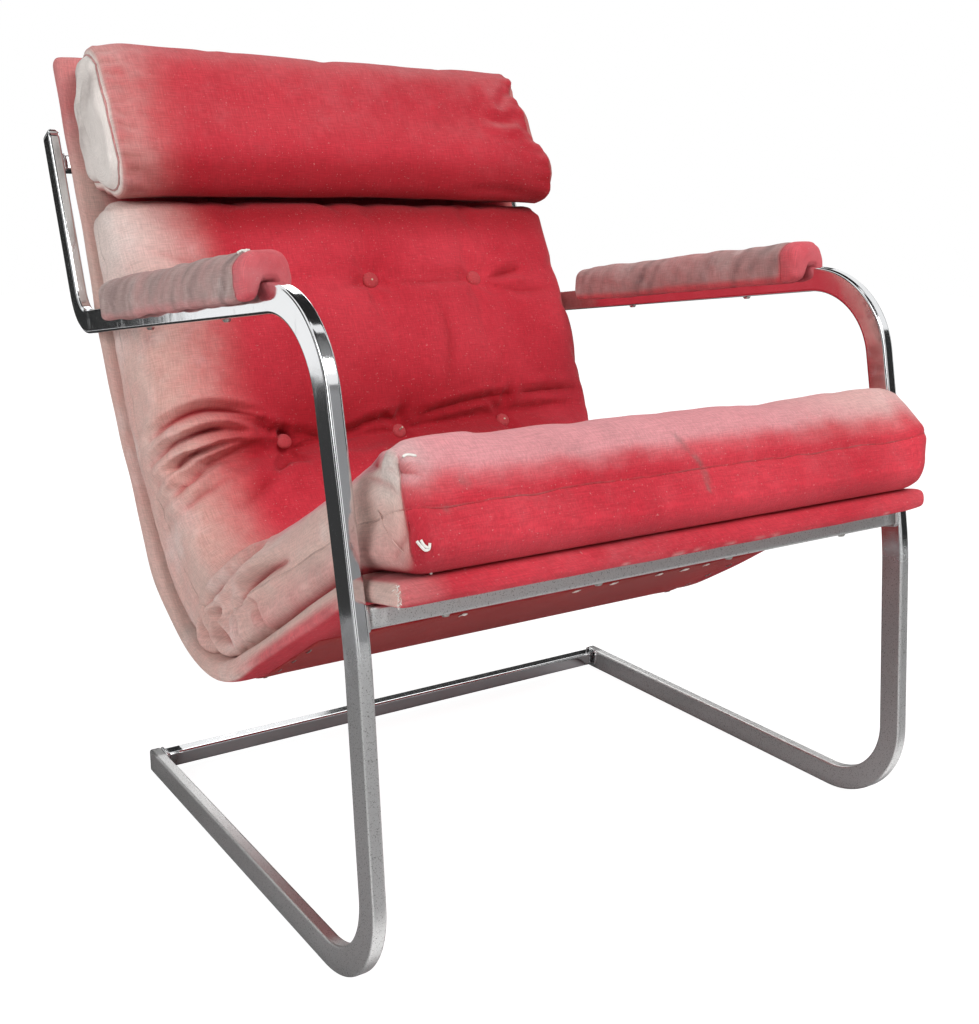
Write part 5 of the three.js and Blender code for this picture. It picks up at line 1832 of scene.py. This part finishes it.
# Loose white stitches at the cushion's front left corner, as pixels of the photograph
STITCHES = {
    "corner_stitch_top": [(403, 457), (406, 455), (411, 455), (416, 456)],
    "corner_stitch_low": [(417, 541), (420, 545), (425, 550), (429, 549), (430, 543)],
    "corner_stitch_inner": [(421, 540), (424, 545), (428, 548)],
    "corner_stitch_foot": [(431, 573), (434, 576), (437, 575)],
}


STITCH_RISE = 0.0012
STITCH_RADIUS = 0.0011


def make_stitches(surface):
    for name, pixels in STITCHES.items():
        path = seen_at(surface, pixels)
        if len(path) > 1:
            raised = smooth_path(path) - view_forward * STITCH_RISE
            place_piece(thread(name, raised, STITCH_RADIUS, WHITE_THREAD, 8), "twine")


FRAY_COUNT = 40
FRAY_LENGTHS = (0.0015, 0.0035)
FRAY_ROOT = 0.0005
FRAY_RADIUS = 0.00022


def make_frays(wrap):
    """Loose fibres at the lip's worn left end."""
    draw = random.Random(5)
    strands = []
    tree = surface_of(wrap)
    for i in range(FRAY_COUNT):
        across = -SHELL_HALF + draw.uniform(0.0, 0.004)
        along = draw.uniform(0.0, 0.004)
        rise = draw.uniform(-0.011, 0.009)
        start = slab_points(np.array([(across, along, rise)]), shell_middle)[0]
        hit, normal, _, _ = tree.find_nearest(Vector(start))
        point = np.array(hit)
        out = np.array(normal)
        bend = np.array([draw.uniform(-1, 1), draw.uniform(-1, 0.4), draw.uniform(-1, 0.6)])
        size = draw.uniform(*FRAY_LENGTHS)
        fibre = [point - out * FRAY_ROOT, point + out * size * 0.45 + bend * size * 0.15,
                 point + out * size * 0.7 + bend * size * 0.6]
        strands.append(thread(f"fibre_{i}", smooth_path(fibre, 4), FRAY_RADIUS, WHITE_THREAD, 4))
    place_piece(join("lip_fibres", strands), "twine")


def keep_nodes():
    """Materials for the CAD nodes that keep their shape."""
    for name, obj in nodes.items():
        if "screw" in name or name.startswith("tuft_washer"):
            material = STEEL if "screw" in name else BLACK
        elif name == "shell_board" or name.startswith("arm_board"):
            material = PLYWOOD
        elif name.startswith("tuft_tie"):
            material = TWINE
        else:
            continue
        obj.data.materials.clear()
        obj.data.materials.append(material)


# Stage and light
FLOOR_SIZE = 14.0
FLOOR_LEVEL = -0.0005
FLOOR_GREY = 0.86
FLOOR_GLOW = 1.3
FLOOR_GLOW_SHARE = 0.72
WORLD_LIGHT = 0.42
WHITE = (1, 1, 1, 1)
SQUARE = [(-1, -1), (1, -1), (1, 1), (-1, 1)]


def make_floor():
    """Pale floor that glows for the camera and the metal, and keeps a share of the shadow."""
    material = bpy.data.materials.new("pale_floor")
    graph = Nodes(material)
    diffuse = graph.add("ShaderNodeBsdfDiffuse", {"Color": (FLOOR_GREY, FLOOR_GREY, FLOOR_GREY, 1)})
    glow = graph.add("ShaderNodeEmission", {"Color": WHITE, "Strength": FLOOR_GLOW})
    share = graph.times(graph.seen(), FLOOR_GLOW_SHARE)
    blend = graph.add("ShaderNodeMixShader", {0: share, 1: diffuse.outputs[0], 2: glow.outputs[0]})
    graph.add("ShaderNodeOutputMaterial", {0: blend.outputs[0]})
    half = FLOOR_SIZE / 2
    corners = [(x * half, y * half, FLOOR_LEVEL) for x, y in SQUARE]
    new_object("floor", corners, [(0, 1, 2, 3)], material, smooth=False)


def make_world():
    """White sky for the camera, the metal and what shows through; plain dimmer light for the rest."""
    world = bpy.data.worlds.new("studio")
    bpy.context.scene.world = world
    graph = Nodes(world)
    through = graph.add("ShaderNodeLightPath").outputs["Is Transmission Ray"]
    seen = graph.math("MAXIMUM", graph.seen(), through)
    strength = graph.add("ShaderNodeMapRange", {0: seen, 3: WORLD_LIGHT, 4: 1.0}).outputs[0]
    background = graph.add("ShaderNodeBackground", {0: WHITE, 1: strength})
    graph.add("ShaderNodeOutputWorld", {0: background.outputs[0]})


LAMPS = {
    "key": ((0.9, -2.4, 3.2), 1.8, 85),
    "fill": ((-3.2, -1.3, 1.8), 2.0, 46),
    "back": ((1.6, 2.6, 2.6), 2.0, 22),
}
# Screens that only the metal mirrors, one grey and the rest dark, as (centre, width, height, turn in
# degrees about Z)
PALE_SCREEN = ("screen_front", (1.35, -3.6, 0.9), 1.8, 2.4, 0)
SCREENS = {
    "screen_left": ((-3.0, -0.3, 0.8), 2.6, 2.4, 90),
    "screen_front_left": ((-1.6, -3.2, 0.9), 1.7, 2.2, 15),
    "screen_front_right": ((2.6, -2.4, 0.8), 1.9, 2.2, 50),
    "screen_right": ((3.4, 0.2, 0.9), 1.8, 2.2, 90),
    "screen_back_right": ((2.4, 2.8, 1.1), 2.2, 2.4, -40),
    "screen_back": ((-0.4, 3.6, 1.2), 2.4, 2.8, 0),
    "screen_back_left": ((-2.8, 2.4, 1.1), 1.6, 2.4, 45),
}
# Level screens, as (centre, width, length, whether grey), for the metal alone
LEVEL_SCREENS = {
    "ground_near": ((0.0, -1.25, -0.0003), 5.0, 1.5, True),
    "ground_middle": ((0.0, 0.05, -0.0003), 5.0, 0.86, True),
    "ground_far": ((0.0, 1.665, -0.0003), 5.0, 2.37, False),
    "screen_above_front": ((0.6, -1.55, 2.8), 4.4, 1.5, False),
    "screen_above_back": ((0.6, 0.7, 2.8), 4.4, 2.3, False),
}


def make_screen(name, corners, material):
    screen = new_object(name, corners, [(0, 1, 2, 3)], material, smooth=False)
    screen.visible_camera = False
    screen.visible_diffuse = False
    screen.visible_shadow = False


LAMP_TARGET = Vector((0, 0, 0.35))


def make_lights():
    for name, (place, size, power) in LAMPS.items():
        data = bpy.data.lights.new(name, "AREA")
        data.shape = "SQUARE"
        data.size = size
        data.energy = power
        lamp = bpy.data.objects.new(name, data)
        lamp.location = place
        lamp.rotation_euler = (LAMP_TARGET - Vector(place)).to_track_quat("-Z", "Y").to_euler()
        bpy.context.scene.collection.objects.link(lamp)
    dark = simple("screen_black", (0.012, 0.012, 0.013), (0.02, 0.02, 0.02), 3, 0.95)
    grey = simple("screen_grey", (0.36, 0.36, 0.37), (0.26, 0.26, 0.26), 3, 0.95)
    screens = [(name, *values, dark) for name, values in SCREENS.items()] + [(*PALE_SCREEN, grey)]
    for name, place, width, height, turn, material in screens:
        angle = math.radians(turn)
        side = np.array([math.cos(angle), math.sin(angle), 0]) * width / 2
        rise = np.array([0, 0, height / 2])
        centre = np.array(place)
        corners = [centre - side - rise, centre + side - rise, centre + side + rise, centre - side + rise]
        make_screen(name, corners, material)
    for name, (centre, width, length, is_grey) in LEVEL_SCREENS.items():
        corners = [np.array(centre) + [x * width / 2, y * length / 2, 0] for x, y in SQUARE]
        make_screen(name, corners, grey if is_grey else dark)


make_camera()
make_frame_pieces()
wrap = make_shell()
make_back_panel()
make_tabs()
make_staples()
cushion, cushion_pins, cushion_seam_places = make_cushion()
roll, roll_pins, roll_ends = make_roll()
pads = [make_pad(side, across) for side, across in SIDES]
inflate([(cushion, cushion_pins, CUSHION_CAP, SOFT_GROWTH), (roll, roll_pins, ROLL_CAP, SOFT_GROWTH)]
        + [(pad, pins, PAD_CAP, PAD_GROWTH) for pad, pins in pads])
cushion_surface = dress_cushion(cushion, *cushion_seam_places)
dress_roll(roll, roll_ends)
for (side, across), (pad, _) in zip(SIDES, pads):
    dress_pad(pad, side, across)
make_worn_spot(surface_of(pads[0][0]))
for number, (_, _, direction) in enumerate(button_places(), start=1):
    make_button(number, cushion_surface, direction)
make_stitches(cushion_surface)
make_frays(wrap)
keep_nodes()
make_floor()
make_world()
make_lights()
bpy.context.scene.view_settings.view_transform = "Standard"
